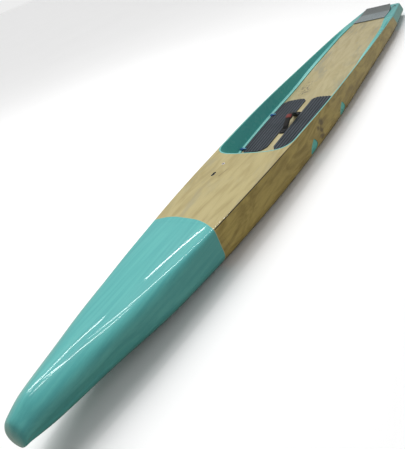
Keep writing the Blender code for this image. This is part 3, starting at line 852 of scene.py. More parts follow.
def draw_veneer(tree: Tree) -> None:
    """Sliced wood: broad wavy bands along X, grey clouds, and fine fibres with open pores.

    Args:
        tree: The group's empty tree.
    """
    pen, given, result = open_group(
        tree, {"Vector": None, "Pale": (0.5, 0.43, 0.24), "Deep": (0.3, 0.24, 0.1), "Grey": (0.3, 0.28, 0.22),
               "Figure": 0.5, "Smudge": 0.3}, {"Color": "Color", "Height": "Float"})
    vector = given["Vector"]
    bands = pen.ease(pen.noise(pen.scaled(vector, (2.6, 11.0, 12.0)), 1.0, 4.0, 0.55, 1.8), 0.36, 0.7)
    streaks = pen.ease(pen.noise(pen.scaled(vector, (5.0, 70.0, 55.0)), 1.0, 3.0, 0.6, 0.6), 0.35, 0.75)
    clouds = pen.noise(pen.scaled(vector, (3.1, 11.0, 9.0), (4.0, 2.0, 7.0)), 1.0, 3.0, 0.6, 0.8)
    clouds = pen.ease(clouds, 0.53, 0.74)
    pores = pen.ease(pen.noise(pen.scaled(vector, (14.0, 620.0, 520.0)), 1.0, 2.0, 0.6), 0.58, 0.72)
    share = pen.line(streaks, 0.22, pen.both(bands, 0.78))
    colour = pen.mix(pen.both(share, given["Figure"]), given["Pale"], given["Deep"])
    colour = pen.mix(pen.both(clouds, given["Smudge"]), colour, given["Grey"])
    colour = pen.mix(pen.both(pores, 0.22), colour, given["Deep"])
    pen.feed(result, {"Color": colour, "Height": pen.less(1.0, pores)})


def draw_ripple(tree: Tree) -> None:
    """Long low waves and a fine peel that a sprayed and sanded coat keeps.

    Args:
        tree: The group's empty tree.
    """
    pen, given, result = open_group(tree, {"Vector": None, "Peel": 0.3}, {"Height": "Float"})
    waves = pen.noise(pen.scaled(given["Vector"], (3.0, 9.0, 9.0)), 1.0, 1.0)
    pen.feed(result, {"Height": pen.line(pen.noise(given["Vector"], 260.0, 1.0), given["Peel"], waves)})


def draw_grime(tree: Tree) -> None:
    """Faint rubbed patches and short scuffs, as masks.

    Args:
        tree: The group's empty tree.
    """
    pen, given, result = open_group(tree, {"Vector": None, "Size": 1.0}, {"Rubbed": "Float", "Scuffs": "Float"})
    vector = pen.add("VectorMath", {0: given["Vector"], "Scale": given["Size"]}, operation="SCALE").outputs[0]
    patches = pen.ease(pen.noise(vector, 7.0, 4.0, 0.6), 0.48, 0.72)
    lines = pen.noise(pen.scaled(vector, (18.0, 160.0, 160.0)), 1.0, 2.0, 0.5, 0.4)
    pen.feed(result, {"Rubbed": patches, "Scuffs": pen.both(pen.ease(lines, 0.66, 0.74), patches)})


def draw_foam(tree: Tree) -> None:
    """Skin of closed cell foam: a fine pebble, and flecks of lighter cells.

    Args:
        tree: The group's empty tree.
    """
    pen, given, result = open_group(tree, {"Vector": None}, {"Height": "Float", "Flecks": "Float"})
    vector = given["Vector"]
    cells = pen.add("TexVoronoi", {"Vector": vector, "Scale": 900.0}).outputs["Distance"]
    flecks = pen.ease(pen.noise(vector, 650.0, 1.0), 0.56, 0.7)
    broad = pen.ease(pen.noise(vector, 9.0, 3.0), 0.35, 0.7)
    pen.feed(result, {"Height": pen.line(cells, 0.6, pen.noise(vector, 420.0, 3.0, 0.6)),
                      "Flecks": pen.line(flecks, 0.5, pen.both(broad, 0.5))})


def draw_weave(tree: Tree) -> None:
    """Plain weave on a map in metres: warp and weft threads that pass over each other in turn.

    Args:
        tree: The group's empty tree.
    """
    pen, given, result = open_group(tree, {"Along": 0.0, "Across": 0.0, "Pitch": 0.0016},
                                    {"Height": "Float", "Thread": "Float"})
    waves = [pen.math("SINE", pen.both(pen.math("DIVIDE", given[name], given["Pitch"]), math.pi))
             for name in ("Along", "Across")]
    warp, weft = (pen.math("ABSOLUTE", wave) for wave in waves)
    over = pen.ease(pen.both(*waves), -0.12, 0.12)
    thread = pen.math("ADD", pen.both(over, warp), pen.both(pen.less(1.0, over), weft))
    pen.feed(result, {"Height": pen.math("POWER", thread, 0.5), "Thread": thread})


def draw_moulded(tree: Tree) -> None:
    """Fine spark grain of a moulded plastic, with faint broad unevenness.

    Args:
        tree: The group's empty tree.
    """
    pen, given, result = open_group(tree, {"Vector": None}, {"Height": "Float", "Broad": "Float"})
    pen.feed(result, {"Height": pen.noise(given["Vector"], 1400.0, 2.0, 0.6),
                      "Broad": pen.ease(pen.noise(given["Vector"], 60.0, 3.0), 0.35, 0.68)})


@dataclass(frozen=True)
class Finish:
    """A finish of one material."""

    name: str  # name of its material

    def material(self) -> bpy.types.Material:
        """Material of the finish, made on first use.

        Returns:
            The material.
        """
        found = bpy.data.materials.get(self.name)
        if found:
            return found
        made = bpy.data.materials.new(self.name)
        made.use_nodes = True
        self.dress(Pen(made.node_tree), made.node_tree.nodes["Principled BSDF"])
        return made

    def dress(self, pen: Pen, shader: Node) -> None:
        """Draw the finish's nodes into its shader."""
        raise NotImplementedError


@dataclass(frozen=True)
class Knot:
    """Knot in a veneer."""

    middle: Pair  # its station, and its distance from the deck seam
    reach: Pair  # half of its length and of its height


@dataclass(frozen=True)
class BoardSkin(Finish):
    """Clear coated skin of the whole hull: veneers, their seams, and the painted nose and tail.

    Its map holds the station and the distance from the deck seam, so paint lines and seams follow the hull.
    """

    name: str = "clear_coated_skin"
    teal: Colour = (0.118, 0.48, 0.452)  # colour of the paint
    teal_low: Colour = (0.084, 0.4, 0.395)  # colour of the deeper streaks in it
    # Pale, deep and grey colour of the deck's veneer
    deck: Trio = ((0.5, 0.425, 0.205), (0.32, 0.25, 0.095), (0.35, 0.32, 0.205))
    rail: Trio = ((0.52, 0.395, 0.11), (0.25, 0.17, 0.034), (0.18, 0.125, 0.045))  # those of the rails' veneer
    base: Trio = ((0.45, 0.37, 0.19), (0.32, 0.25, 0.11), (0.3, 0.27, 0.17))  # those of the bottom's veneer
    knot: Colour = (0.12, 0.08, 0.03)  # colour of the knots
    seam: Colour = (0.03, 0.024, 0.014)  # colour of the seams and the scratch
    pinline: Colour = (0.5, 0.42, 0.19)  # colour of the line behind the nose paint
    nose_line: float = 1.046  # station of the nose paint's end at the deck seam
    nose_rise: float = 0.038  # how much further aft it ends on the centre line
    nose_half: float = 0.15  # distance from the seam over which it gets there
    nose_slope: float = 0.15  # slope of the paint's end below the seam
    nose_skew: float = -0.12  # slope of the paint's end across the deck
    tail_line: float = 3.858  # station where the tail paint starts at the seam
    tail_slope: float = 0.12  # slope of its start below the seam
    seam_half: float = 0.0024  # half width of the deck seam
    seam_fade: Pair = (1.6, 1.8)  # stations between which the seams fade from dark to faint
    scratch: Triple = (0.65, -0.036, 0.03)  # world x and y of the scratch's middle, and half of its length
    chine: float = -0.205  # distance from the deck seam at which the bottom's veneer starts
    # Knots in the port rail
    knots: tuple[Knot, ...] = (Knot((2.08, -0.042), (0.034, 0.032)), Knot((2.03, -0.058), (0.026, 0.018)),
                               Knot((2.055, -0.08), (0.024, 0.03)), Knot((2.038, -0.112), (0.04, 0.022)))

    def nose_masks(self, pen: Pen, place: Socket, aft: Socket, girth: Socket) -> tuple[Socket, Socket]:
        """Masks of the nose paint, which ends in a slightly skew arc across the deck and slants forward below.

        Args:
            pen: Pen for the material's tree.
            place: World place.
            aft: Station.
            girth: Distance from the deck seam.

        Returns:
            Masks of the paint and of the pinline behind it.
        """
        inward = pen.math("MINIMUM", pen.math("DIVIDE", pen.either(girth, 0.0), self.nose_half), 1.0)
        arc = pen.less(1.0, pen.math("POWER", pen.less(1.0, inward), 1.8))
        end = pen.line(arc, self.nose_rise, self.nose_line)
        end = pen.line(pen.parts(place)[1], self.nose_skew, end)
        end = pen.line(pen.math("MINIMUM", girth, 0.0), self.nose_slope, end)
        past = pen.less(aft, end)
        return pen.ease(past, -0.0006, 0.0006, 1.0, 0.0), pen.near(past, 0.0018, 0.0014, 0.0006)

    def tail_mask(self, pen: Pen, aft: Socket, girth: Socket) -> Socket:
        """Mask of the tail paint, which starts in a slanting line and reaches further forward on the gunwales.

        Args:
            pen: Pen for the material's tree.
            aft: Station.
            girth: Distance from the deck seam.

        Returns:
            The mask.
        """
        past = pen.line(pen.math("MINIMUM", girth, 0.0), self.tail_slope, aft)
        tail = pen.ease(past, self.tail_line - 0.0006, self.tail_line + 0.0006)
        return pen.either(tail, pen.both(pen.ease(aft, 3.8, 3.801), pen.ease(girth, -0.0015, -0.0005)))

    def scratch_mask(self, pen: Pen, place: Socket) -> Socket:
        """Mask of the thin dark scratch along the foredeck.

        Args:
            pen: Pen for the material's tree.
            place: World place.

        Returns:
            The mask.
        """
        x, y, z = pen.parts(place)
        ahead = pen.less(x, self.scratch[0])
        mask = pen.both(pen.near(pen.line(ahead, 0.2, y), self.scratch[1], 0.0009, 0.0008),
                        pen.near(ahead, 0.0, self.scratch[2], 0.012))
        return pen.both(mask, pen.ease(z, 0.15, 0.16))

    def knot_mask(self, pen: Pen, place: Socket, aft: Socket, girth: Socket) -> Socket:
        """Mask of the knots' dark eyes on the port rail, which have ragged rims.

        Args:
            pen: Pen for the material's tree.
            place: World place.
            aft: Station.
            girth: Distance from the deck seam.

        Returns:
            The mask.
        """
        ragged = pen.noise(pen.scaled(place, (20.0, 30.0, 40.0)), 1.0, 3.0, 0.6)
        mask: Socket | float = 0.0
        for knot in self.knots:
            away = pen.math("SQRT", pen.away((aft, girth), knot.middle, knot.reach))
            mask = pen.either(mask, pen.ease(pen.line(ragged, 1.2, away), 0.85, 1.65, 1.0, 0.0))
        return pen.both(mask, pen.ease(pen.parts(place)[1], 0.0, 0.01))

    def dress(self, pen: Pen, shader: Node) -> None:
        """Lay deck, rail and bottom veneers, then seams, then paint, under one clear coat.

        Args:
            pen: Pen for the material's tree.
            shader: Its shader.
        """
        place, (aft, girth) = pen.place(), pen.surface()
        deck = pen.veneer(place, self.deck, 0.75, 0.55)
        rail = pen.veneer(pen.scaled(place, (1.3, 1.3, 1.3), (3.0, 1.0, 0.0)), self.rail, 0.95, 0.4)
        base = pen.veneer(pen.scaled(place, (1.0, 1.0, 1.0), (7.0, 3.0, 1.0)), self.base, 0.6, 0.3)
        side = pen.mix(pen.both(self.knot_mask(pen, place, aft, girth), 0.85), rail["Color"], self.knot)
        colour = pen.mix(pen.ease(girth, -0.0004, 0.0004), side, deck["Color"])
        below = pen.ease(girth, self.chine - 0.0006, self.chine + 0.0006, 1.0, 0.0)
        colour = pen.mix(below, colour, base["Color"])
        seams = pen.either(pen.near(girth, 0.0, self.seam_half, 0.0006), pen.near(girth, self.chine, 0.0008, 0.0005))
        colour = pen.mix(pen.both(seams, pen.ease(aft, *self.seam_fade, 0.92, 0.25)), colour, self.seam)
        colour = pen.mix(pen.both(self.scratch_mask(pen, place), 0.75), colour, self.seam)
        streaks = pen.ease(pen.noise(pen.scaled(place, (2.2, 46.0, 46.0)), 1.0, 4.0, 0.6), 0.3, 0.72)
        nose, pinline = self.nose_masks(pen, place, aft, girth)
        painted = pen.either(nose, self.tail_mask(pen, aft, girth))
        colour = pen.mix(pinline, colour, self.pinline)
        colour = pen.mix(painted, colour, pen.mix(streaks, self.teal, self.teal_low))
        marks = pen.effect(Effect.GRIME, Vector=place, Size=1.0)
        ripple = pen.effect(Effect.SKIN_RIPPLE, Vector=place, Peel=0.006)
        low = pen.bump(ripple["Height"], 0.0008, 0.25)
        pores = pen.both(deck["Height"], pen.less(1.0, painted))
        pen.feed(shader, {"Base Color": colour, "Roughness": pen.line(marks["Rubbed"], 0.1, 0.3),
                          "Specular IOR Level": 0.2, "Coat Weight": 0.8, "Coat Roughness": 0.04,
                          "Normal": pen.bump(pores, 0.00008, 0.4, low)})


@dataclass(frozen=True)
class TealCoat(Finish):
    """Glossy teal paint of the outlets."""

    name: str = "gloss_teal"
    colour: Colour = (0.16, 0.61, 0.54)  # colour of the paint
    low: Colour = (0.13, 0.53, 0.47)  # deeper colour that it wavers to
    scuffed: Colour = (0.42, 0.66, 0.63)  # colour of the scuffs

    def dress(self, pen: Pen, shader: Node) -> None:
        """Slightly uneven paint with rubbed patches under a thin coat.

        Args:
            pen: Pen for the material's tree.
            shader: Its shader.
        """
        place = pen.place()
        marks = pen.effect(Effect.GRIME, Vector=place, Size=1.6)
        colour = pen.mix(pen.noise(pen.scaled(place, (3.0, 12.0, 12.0)), 1.0, 3.0), self.colour, self.low)
        ripple = pen.effect(Effect.SKIN_RIPPLE, Vector=place, Peel=0.01)
        pen.feed(shader, {"Base Color": pen.mix(pen.both(marks["Scuffs"], 0.25), colour, self.scuffed),
                          "Roughness": pen.line(marks["Rubbed"], 0.14, 0.26), "Specular IOR Level": 0.2,
                          "Coat Weight": 0.35, "Coat Roughness": 0.08,
                          "Normal": pen.bump(ripple["Height"], 0.0006, 0.3)})


@dataclass(frozen=True)
class LinerCoat(TealCoat):
    """Teal of the cockpit walls, darker than outside as painted shade, and paler on ledge and rim as painted highlight.
    """

    name: str = "liner_teal"
    # Darker than the outlets' teal: painted shade of the walls.
    colour: Colour = (0.06, 0.37, 0.345)
    low: Colour = (0.045, 0.31, 0.29)
    pale: Colour = (0.3, 0.7, 0.65)  # painted highlight colour of the lit ledge and rim

    def dress(self, pen: Pen, shader: Node) -> None:
        """The paint, with the paler painted highlight laid over it by the share that the wall's map holds.

        Args:
            pen: Pen for the material's tree.
            shader: Its shader.
        """
        super().dress(pen, shader)
        base = shader.inputs["Base Color"].links[0].from_socket
        # Painted highlight on ledge and rim, by the share in the wall's map.
        pen.feed(shader, {"Base Color": pen.mix(pen.surface()[1], base, self.pale)})


@dataclass(frozen=True)
class FloorVeneer(Finish):
    """Pale veneer of the cockpit floor under a satin coat that feet have rubbed."""

    name: str = "floor_veneer"
    # Pale, deep and grey colour of the veneer
    colours: Trio = ((0.51, 0.44, 0.245), (0.34, 0.275, 0.12), (0.29, 0.275, 0.195))
    spalting: Colour = (0.1, 0.085, 0.06)  # colour of the dark specks in it
    spalted: Pair = (-0.547, -0.1)  # world x and y of the middle of the patch that they lie in
    spalt_reach: Pair = (0.15, 0.045)  # half of the patch's length and of its width

    def spalt_mask(self, pen: Pen, place: Socket) -> Socket:
        """Mask of the dark broken specks within their oval patch.

        Args:
            pen: Pen for the material's tree.
            place: World place.

        Returns:
            The mask.
        """
        away = pen.away(pen.parts(place)[:2], self.spalted, self.spalt_reach)
        field = pen.noise(pen.scaled(place, (10.0, 24.0, 10.0)), 1.0, 3.0, 0.6, 1.2)
        broken = pen.ease(pen.noise(pen.scaled(place, (38.0, 60.0, 38.0)), 1.0, 3.0, 0.6), 0.46, 0.58)
        specks = pen.both(pen.near(field, 0.5, 0.02, 0.05), broken)
        return pen.both(specks, pen.ease(away, 0.5, 1.3, 1.0, 0.0))

    def dress(self, pen: Pen, shader: Node) -> None:
        """The veneer effect with more grey clouds than the foredeck.

        Args:
            pen: Pen for the material's tree.
            shader: Its shader.
        """
        place = pen.place()
        wood = pen.veneer(pen.scaled(place, (1.0, 1.0, 1.0), (1.7, 0.4, 0.0)), self.colours, 0.7, 0.75)
        marks = pen.effect(Effect.GRIME, Vector=place, Size=1.3)
        colour = pen.mix(pen.both(self.spalt_mask(pen, place), 0.85), wood["Color"], self.spalting)
        pen.feed(shader, {"Base Color": pen.mix(pen.both(marks["Scuffs"], 0.3), colour, self.colours[2]),
                          "Roughness": pen.line(marks["Rubbed"], 0.14, 0.34), "Coat Weight": 0.6,
                          "Coat Roughness": 0.12, "Normal": pen.bump(wood["Height"], 0.00008, 0.5)})


@dataclass(frozen=True)
class FoamFinish(Finish):
    """Closed cell foam of a deck pad, darkened down in its grooves as painted shade."""

    name: str = "pad_foam_charcoal"
    colour: Colour = (0.036, 0.043, 0.054)  # colour of the foam
    fleck: Colour = (0.058, 0.067, 0.082)  # colour of its lighter cells
    groove: Colour = (0.004, 0.005, 0.007)  # painted shade colour down in the grooves

    def dress(self, pen: Pen, shader: Node) -> None:
        """Foam whose map holds the depth of the groove, from 0 on the ribs to 1 at its floor, which darkens it towards
        the groove colour as painted shade.

        Args:
            pen: Pen for the material's tree.
            shader: Its shader.
        """
        place = pen.place()
        foam = pen.effect(Effect.FOAM, Vector=place)
        colour = pen.mix(foam["Flecks"], self.colour, self.fleck)
        marks = pen.effect(Effect.GRIME, Vector=place, Size=2.2)
        # Painted shade: darker by the groove's depth.
        pen.feed(shader, {"Base Color": pen.mix(pen.ease(pen.surface()[0], 0.15, 0.9), colour, self.groove),
                          "Roughness": pen.line(marks["Rubbed"], -0.1, 0.86), "Specular IOR Level": 0.25,
                          "Sheen Weight": 0.1, "Sheen Roughness": 0.6,
                          "Normal": pen.bump(foam["Height"], 0.0003, 0.5)})


@dataclass(frozen=True)
class TailFoam(FoamFinish):
    """Lighter foam of the tail pad, with a darker kick at its rear."""

    name: str = "tail_foam_grey"
    colour: Colour = (0.235, 0.27, 0.278)
    fleck: Colour = (0.3, 0.335, 0.342)
    # Painted shade colour down in the grooves.
    groove: Colour = (0.13, 0.15, 0.155)
    kick: Colour = (0.15, 0.16, 0.155)  # colour of the kick
    kick_line: float = 4.045  # station where it starts

    def dress(self, pen: Pen, shader: Node) -> None:
        """Foam in its own greys, with the kick's grey laid over it behind its line.

        Args:
            pen: Pen for the material's tree.
            shader: Its shader.
        """
        super().dress(pen, shader)
        base = shader.inputs["Base Color"].links[0].from_socket
        aft = pen.less(HULL.length / 2, pen.parts(pen.place())[0])
        band = pen.ease(aft, self.kick_line - 0.0008, self.kick_line + 0.0008)
        pen.feed(shader, {"Base Color": pen.mix(pen.both(band, 0.8), base, self.kick)})


@dataclass(frozen=True)
class ClothFinish(Finish):
    """Woven cloth or webbing, whose map is in metres along and across."""

    name: str = "webbing"
    colour: Colour = (0.012, 0.01, 0.01)  # colour down in the weave, darker there as painted shade
    light: Colour = (0.04, 0.036, 0.034)  # lighter colour of the threads' crowns as painted highlight, and of the faint dust
    pitch: float = 0.0016  # distance between threads
    roughness: float = 0.82  # roughness down in the weave

    def dress(self, pen: Pen, shader: Node) -> None:
        """Weave with thread crowns lightened as painted highlight over hollows darkened as painted shade, faint dust
        and a soft sheen.

        Args:
            pen: Pen for the material's tree.
            shader: Its shader.
        """
        along, across = pen.surface()
        weave = pen.effect(Effect.WEAVE, Along=along, Across=across, Pitch=self.pitch)
        marks = pen.effect(Effect.GRIME, Vector=pen.place(), Size=6.0)
        # Thread crowns lightened as painted highlight, with faint dust from the rubbed mask.
        share = pen.line(marks["Rubbed"], 0.3, pen.both(weave["Thread"], 0.5))
        pen.feed(shader, {"Base Color": pen.mix(share, self.colour, self.light),
                          "Roughness": pen.line(weave["Thread"], -0.12, self.roughness), "Sheen Weight": 0.1,
                          "Sheen Roughness": 0.5, "Normal": pen.bump(weave["Height"], 0.0004, 0.7)})


@dataclass(frozen=True)
class PlasticFinish(Finish):
    """Moulded plastic with a fine grain."""

    name: str = "moulded_black"
    colour: Colour = (0.018, 0.018, 0.02)  # its colour
    light: Colour = (0.045, 0.045, 0.048)  # colour of its paler patches and scuffs
    roughness: float = 0.42  # roughness where it isn't rubbed

    def dress(self, pen: Pen, shader: Node) -> None:
        """Even colour with faint broad tone, rubbed patches and spark grain.

        Args:
            pen: Pen for the material's tree.
            shader: Its shader.
        """
        place = pen.place()
        grain = pen.effect(Effect.MOULDED, Vector=place)
        marks = pen.effect(Effect.GRIME, Vector=place, Size=9.0)
        share = pen.line(marks["Scuffs"], 0.6, pen.both(grain["Broad"], 0.4))
        pen.feed(shader, {"Base Color": pen.mix(share, self.colour, self.light),
                          "Roughness": pen.line(marks["Rubbed"], 0.15, self.roughness),
                          "Normal": pen.bump(grain["Height"], 0.00012, 0.35)})


@dataclass(frozen=True)
class SteelFinish(Finish):
    """Brushed stainless steel of the small screws."""

    name: str = "brushed_steel"
    colour: Colour = (0.55, 0.55, 0.54)  # colour of the bright metal
    dull: Colour = (0.38, 0.38, 0.37)  # colour of its dull patches

    def dress(self, pen: Pen, shader: Node) -> None:
        """Metal with fine brushing across it and dull patches.

        Args:
            pen: Pen for the material's tree.
            shader: Its shader.
        """
        place = pen.place()
        brush = pen.noise(pen.scaled(place, (300.0, 2600.0, 300.0)), 1.0, 2.0)
        marks = pen.effect(Effect.GRIME, Vector=place, Size=20.0)
        pen.feed(shader, {"Base Color": pen.mix(marks["Rubbed"], self.colour, self.dull), "Metallic": 1.0,
                          "Roughness": pen.line(brush, 0.2, 0.25), "Normal": pen.bump(brush, 0.00005, 0.3)})


# Sub-assemblies


@dataclass
class Hull:
    """Coated shell of the board: nose, foredeck, tail deck, rails and bottom."""

    form: HullForm = HULL  # outer form of the board
    skin: BoardSkin = BoardSkin()  # finish of all its pieces
    nose_end: float = 1.05  # station of the joint behind the nose
    rim_front: float = 1.68  # station of the cockpit rim's front end
    rim_end: float = 1.86  # station where the rim's ends meet the gunwales
    cockpit_rear: float = 3.88  # station where the open cockpit meets the tail deck
    rim_power: float = 3.5  # how square the rim's corners are
    # Width of the flat top of the rail beside the cockpit
    gunwale: HullLine = HullLine((1.86, 2.2, 3.0, 3.88), (0.005, 0.004, 0.0035, 0.0035))
    # Half width of the cockpit at the foot of its walls
    wall_foot: HullLine = HullLine((1.7, 1.86, 2.09, 2.34, 2.66, 3.11, 3.58, 3.88),
                                   (0.187, 0.193, 0.202, 0.209, 0.208, 0.2, 0.187, 0.158))
    # Height of the cockpit floor
    floor: HullLine = HullLine((1.7, 2.62, 3.11, 3.58, 3.88), (0.076, 0.076, 0.096, 0.105, 0.1155))
    liner: float = 0.005  # thickness of the cockpit's walls
    clearance: float = 0.0005  # room between the walls and what is behind them
    wall_lean: float = 0.012  # how far the front wall's foot lies behind its top
    rim_top: float = 0.007  # width of the front wall's top
    ledge_rise: float = 0.0053  # height of the ledge above the floor
    step: float = 0.012  # distance between rings along the board
    edge_round: float = 0.004  # radius of the edges at the transom

    @property
    def wall_start(self) -> float:
        """Station of the front wall's foot."""
        return self.rim_front + self.rim_top + self.wall_lean

    def cockpit_stations(self) -> Array:
        """Stations along the open cockpit, from the rim's end to the tail deck."""
        return even_stations(self.rim_end + GAP, self.cockpit_rear, self.step)

    def rim(self, front: float, half: float, grow: float, steps: int = 48) -> Array:
        """Rim in plan, as points (aft, y) from starboard round the front to port: x and y go with the
        2 / power-th powers of a half turn's sine and cosine.

        Args:
            front: Station of its front end.
            half: Half width at its ends.
            grow: How far it is pushed outwards.
            steps: Spans of the half turn.

        Returns:
            The points of the curve.
        """
        turn = np.linspace(math.pi, 0.0, steps + 1)
        power = 2 / self.rim_power
        sine = np.abs(np.sin(turn)) ** power
        cosine = np.sign(np.cos(turn)) * np.abs(np.cos(turn)) ** power
        sine[[0, -1]], cosine[[0, -1]] = 0.0, (-1.0, 1.0)
        return stacked(self.rim_end - (self.rim_end - front + grow) * sine, (half + grow) * cosine)

    def cockpit_cutter(self) -> Mesh:
        """Solid of the cockpit's front corner, wider above than below as its walls lean.

        Returns:
            Its mesh, which reaches half the wall's height past the floor and past the deck.
        """
        end = self.rim_end
        low_half = float(self.wall_foot.at(end)) + self.liner - self.clearance
        high_half = float(self.form.edge(end)) - float(self.gunwale.at(end)) - self.clearance
        floor, deck = float(self.floor.at(end)), float(self.form.height_line.at(end))
        low = self.rim(self.wall_start - self.liner, low_half, GAP)
        high = self.rim(self.rim_front, high_half, GAP)
        rings = []
        for level in (-0.5, 1.5):
            curve = low + (high - low) * level
            tail = np.array([[end + 0.05, curve[-1, 1]], [end + 0.05, curve[0, 1]]])
            outline = np.concatenate([curve, tail])
            rings.append(self.form.world(outline[:, 0], outline[:, 1], floor + (deck - floor) * level))
        return loft(np.stack(rings))

    def tapered(self, stations: Array, points: Array) -> Array:
        """Half section with its border drawn in over the last stations, for a rounded transom edge.

        Args:
            stations: Station of each ring.
            points: Its points (y, z), as an array (ring, point, 2).

        Returns:
            The moved points.
        """
        from_end = np.clip((self.form.length - stations) / self.edge_round, 0.0, 1.0)
        inset = self.edge_round * (1 - np.sqrt(1 - (1 - from_end) ** 2))[:, None, None]
        away = points - points.mean(axis=1, keepdims=True) * np.array((0.0, 1.0))
        reach = np.linalg.norm(away, axis=2, keepdims=True)
        return points - away / np.maximum(reach, 1e-6) * inset * np.minimum(reach / 0.02, 1.0)

    def end_stations(self, start: float) -> Array:
        """Stations to the transom, close together over its rounded edge.

        Args:
            start: The first station.

        Returns:
            The stations, rising.
        """
        length = self.form.length
        body = even_stations(start, length - self.edge_round, self.step)
        turn = length - self.edge_round * (1 - np.sin(np.linspace(0, math.pi / 2, 6)[1:]))
        corner = length - self.form.tail_corner * (1 - np.sin(np.linspace(0, 1.2, 9)))
        return np.unique(np.round(np.concatenate([body, corner, turn]), 6))

    def nose(self) -> Piece:
        """Painted nose: whole rings from the stem to its joint.

        Returns:
            The piece.
        """
        turn = np.cos(np.linspace(0, math.pi / 2, 20)) ** (2 / self.form.nose_fullness[0])
        tips = [reach * (1 - turn) for reach in self.form.nose_rounds]
        body = even_stations(self.form.nose_rounds[1], self.nose_end, self.step)
        stations = np.unique(np.round(np.concatenate([*tips, body]), 6))
        rings, uv = self.form.ring(stations, *self.form.half_section(stations))
        return show("nose_shell", loft(rings, uv), self.skin, ["nose_section"])

    def lower_hull(self, pockets: Sequence[Mesh]) -> Piece:
        """Flat bottom and round bilges under a flat top.

        Args:
            pockets: Solids to cut it with, for the fin box and the outlets.

        Returns:
            The piece.
        """
        stations = self.end_stations(self.nose_end + GAP)
        half, girth = (values[:, :SPLIT] for values in self.form.half_section(stations))
        inward = fractions(15)[1:]
        top = stacked(half[:, -1, :1] * (1 - inward), half[:, -1, 1:])
        half = self.tapered(stations, np.concatenate([half, top], axis=1))
        girth = np.concatenate([girth, girth[:, -1:] + 0 * inward], axis=1)
        mesh = carved(loft(*self.form.ring(stations, half, girth)), pockets)
        return show("hull_shell", mesh, self.skin, ["hull_bottom"])

    def upper_half(self, stations: Array) -> tuple[Array, Array]:
        """Half section above the joint: a flat underside, then side, shoulder and deck.

        Args:
            stations: Station of each ring.

        Returns:
            Its points (y, z), and the distance of each from the deck seam.
        """
        half, girth = (values[:, SPLIT:] for values in self.form.half_section(stations))
        outward = fractions(9)[:-1]
        base = stacked(half[:, 0, :1] * outward, half[:, 0, 1:])
        return np.concatenate([base, half], axis=1), np.concatenate([girth[:, :1] + 0 * outward, girth], axis=1)

    def foredeck(self, pockets: Sequence[Mesh]) -> Piece:
        """Upper shell from the nose joint to the cockpit, with the cockpit cut in.

        Args:
            pockets: Solids to cut it with, for the plugs.

        Returns:
            The piece.
        """
        stations = even_stations(self.nose_end + GAP, self.rim_end, self.step)
        rings, uv = self.form.ring(stations, *self.upper_half(stations))
        mesh = carved(loft(rings, uv), [self.cockpit_cutter(), *pockets])
        return show("foredeck_shell", mesh, self.skin, ["foredeck"])

    def tail_deck(self, pockets: Sequence[Mesh]) -> Piece:
        """Upper shell behind the cockpit, with its edges rounded at the transom.

        Args:
            pockets: Solids to cut it with, for the leash plug.

        Returns:
            The piece.
        """
        stations = self.end_stations(self.cockpit_rear + GAP)
        half, girth = self.upper_half(stations)
        mesh = carved(loft(*self.form.ring(stations, self.tapered(stations, half), girth)), pockets)
        return show("tail_shell", mesh, self.skin, ["tail_deck"])

    def rail(self, side: Side, pockets: Sequence[Mesh]) -> Piece:
        """Hollow rail beside the cockpit: outer side, shoulder, gunwale top and its slanting inner face.

        Args:
            side: The side that it is on.
            pockets: Solids to cut it with, for the outlets.

        Returns:
            The piece.
        """
        stations = self.cockpit_stations()
        outer, girth = (values[:, SPLIT:CREST + 1] for values in self.form.half_section(stations))
        edge, deck = self.form.edge(stations), self.form.height_line.at(stations)
        foot = self.wall_foot.at(stations) + self.liner
        corners = [stacked(edge - 0.002, deck), stacked(edge - self.gunwale.at(stations), deck),
                   stacked(foot, outer[:, 0, 1])]
        top = np.concatenate([outer[:, -1:], np.stack(corners, axis=1)], axis=1)
        top = rounded_corners(top, (0.0, 0.0012, 0.0012, 0.0), 3, closed=False)[:, 1:]
        half = np.concatenate([outer, top], axis=1)
        run = np.cumsum(np.linalg.norm(np.diff(half[:, CREST - SPLIT:], axis=1), axis=2), axis=1)
        girth = np.concatenate([girth, np.minimum(run, 0.001)], axis=1)
        points = self.form.world(stations[:, None], half[..., 0] * side.value, half[..., 1])
        mesh = carved(loft(points, stacked(stations[:, None], girth)), pockets)
        return show(f"rail_shell_{side.word}", mesh, self.skin, [f"rail_{side.word}"])


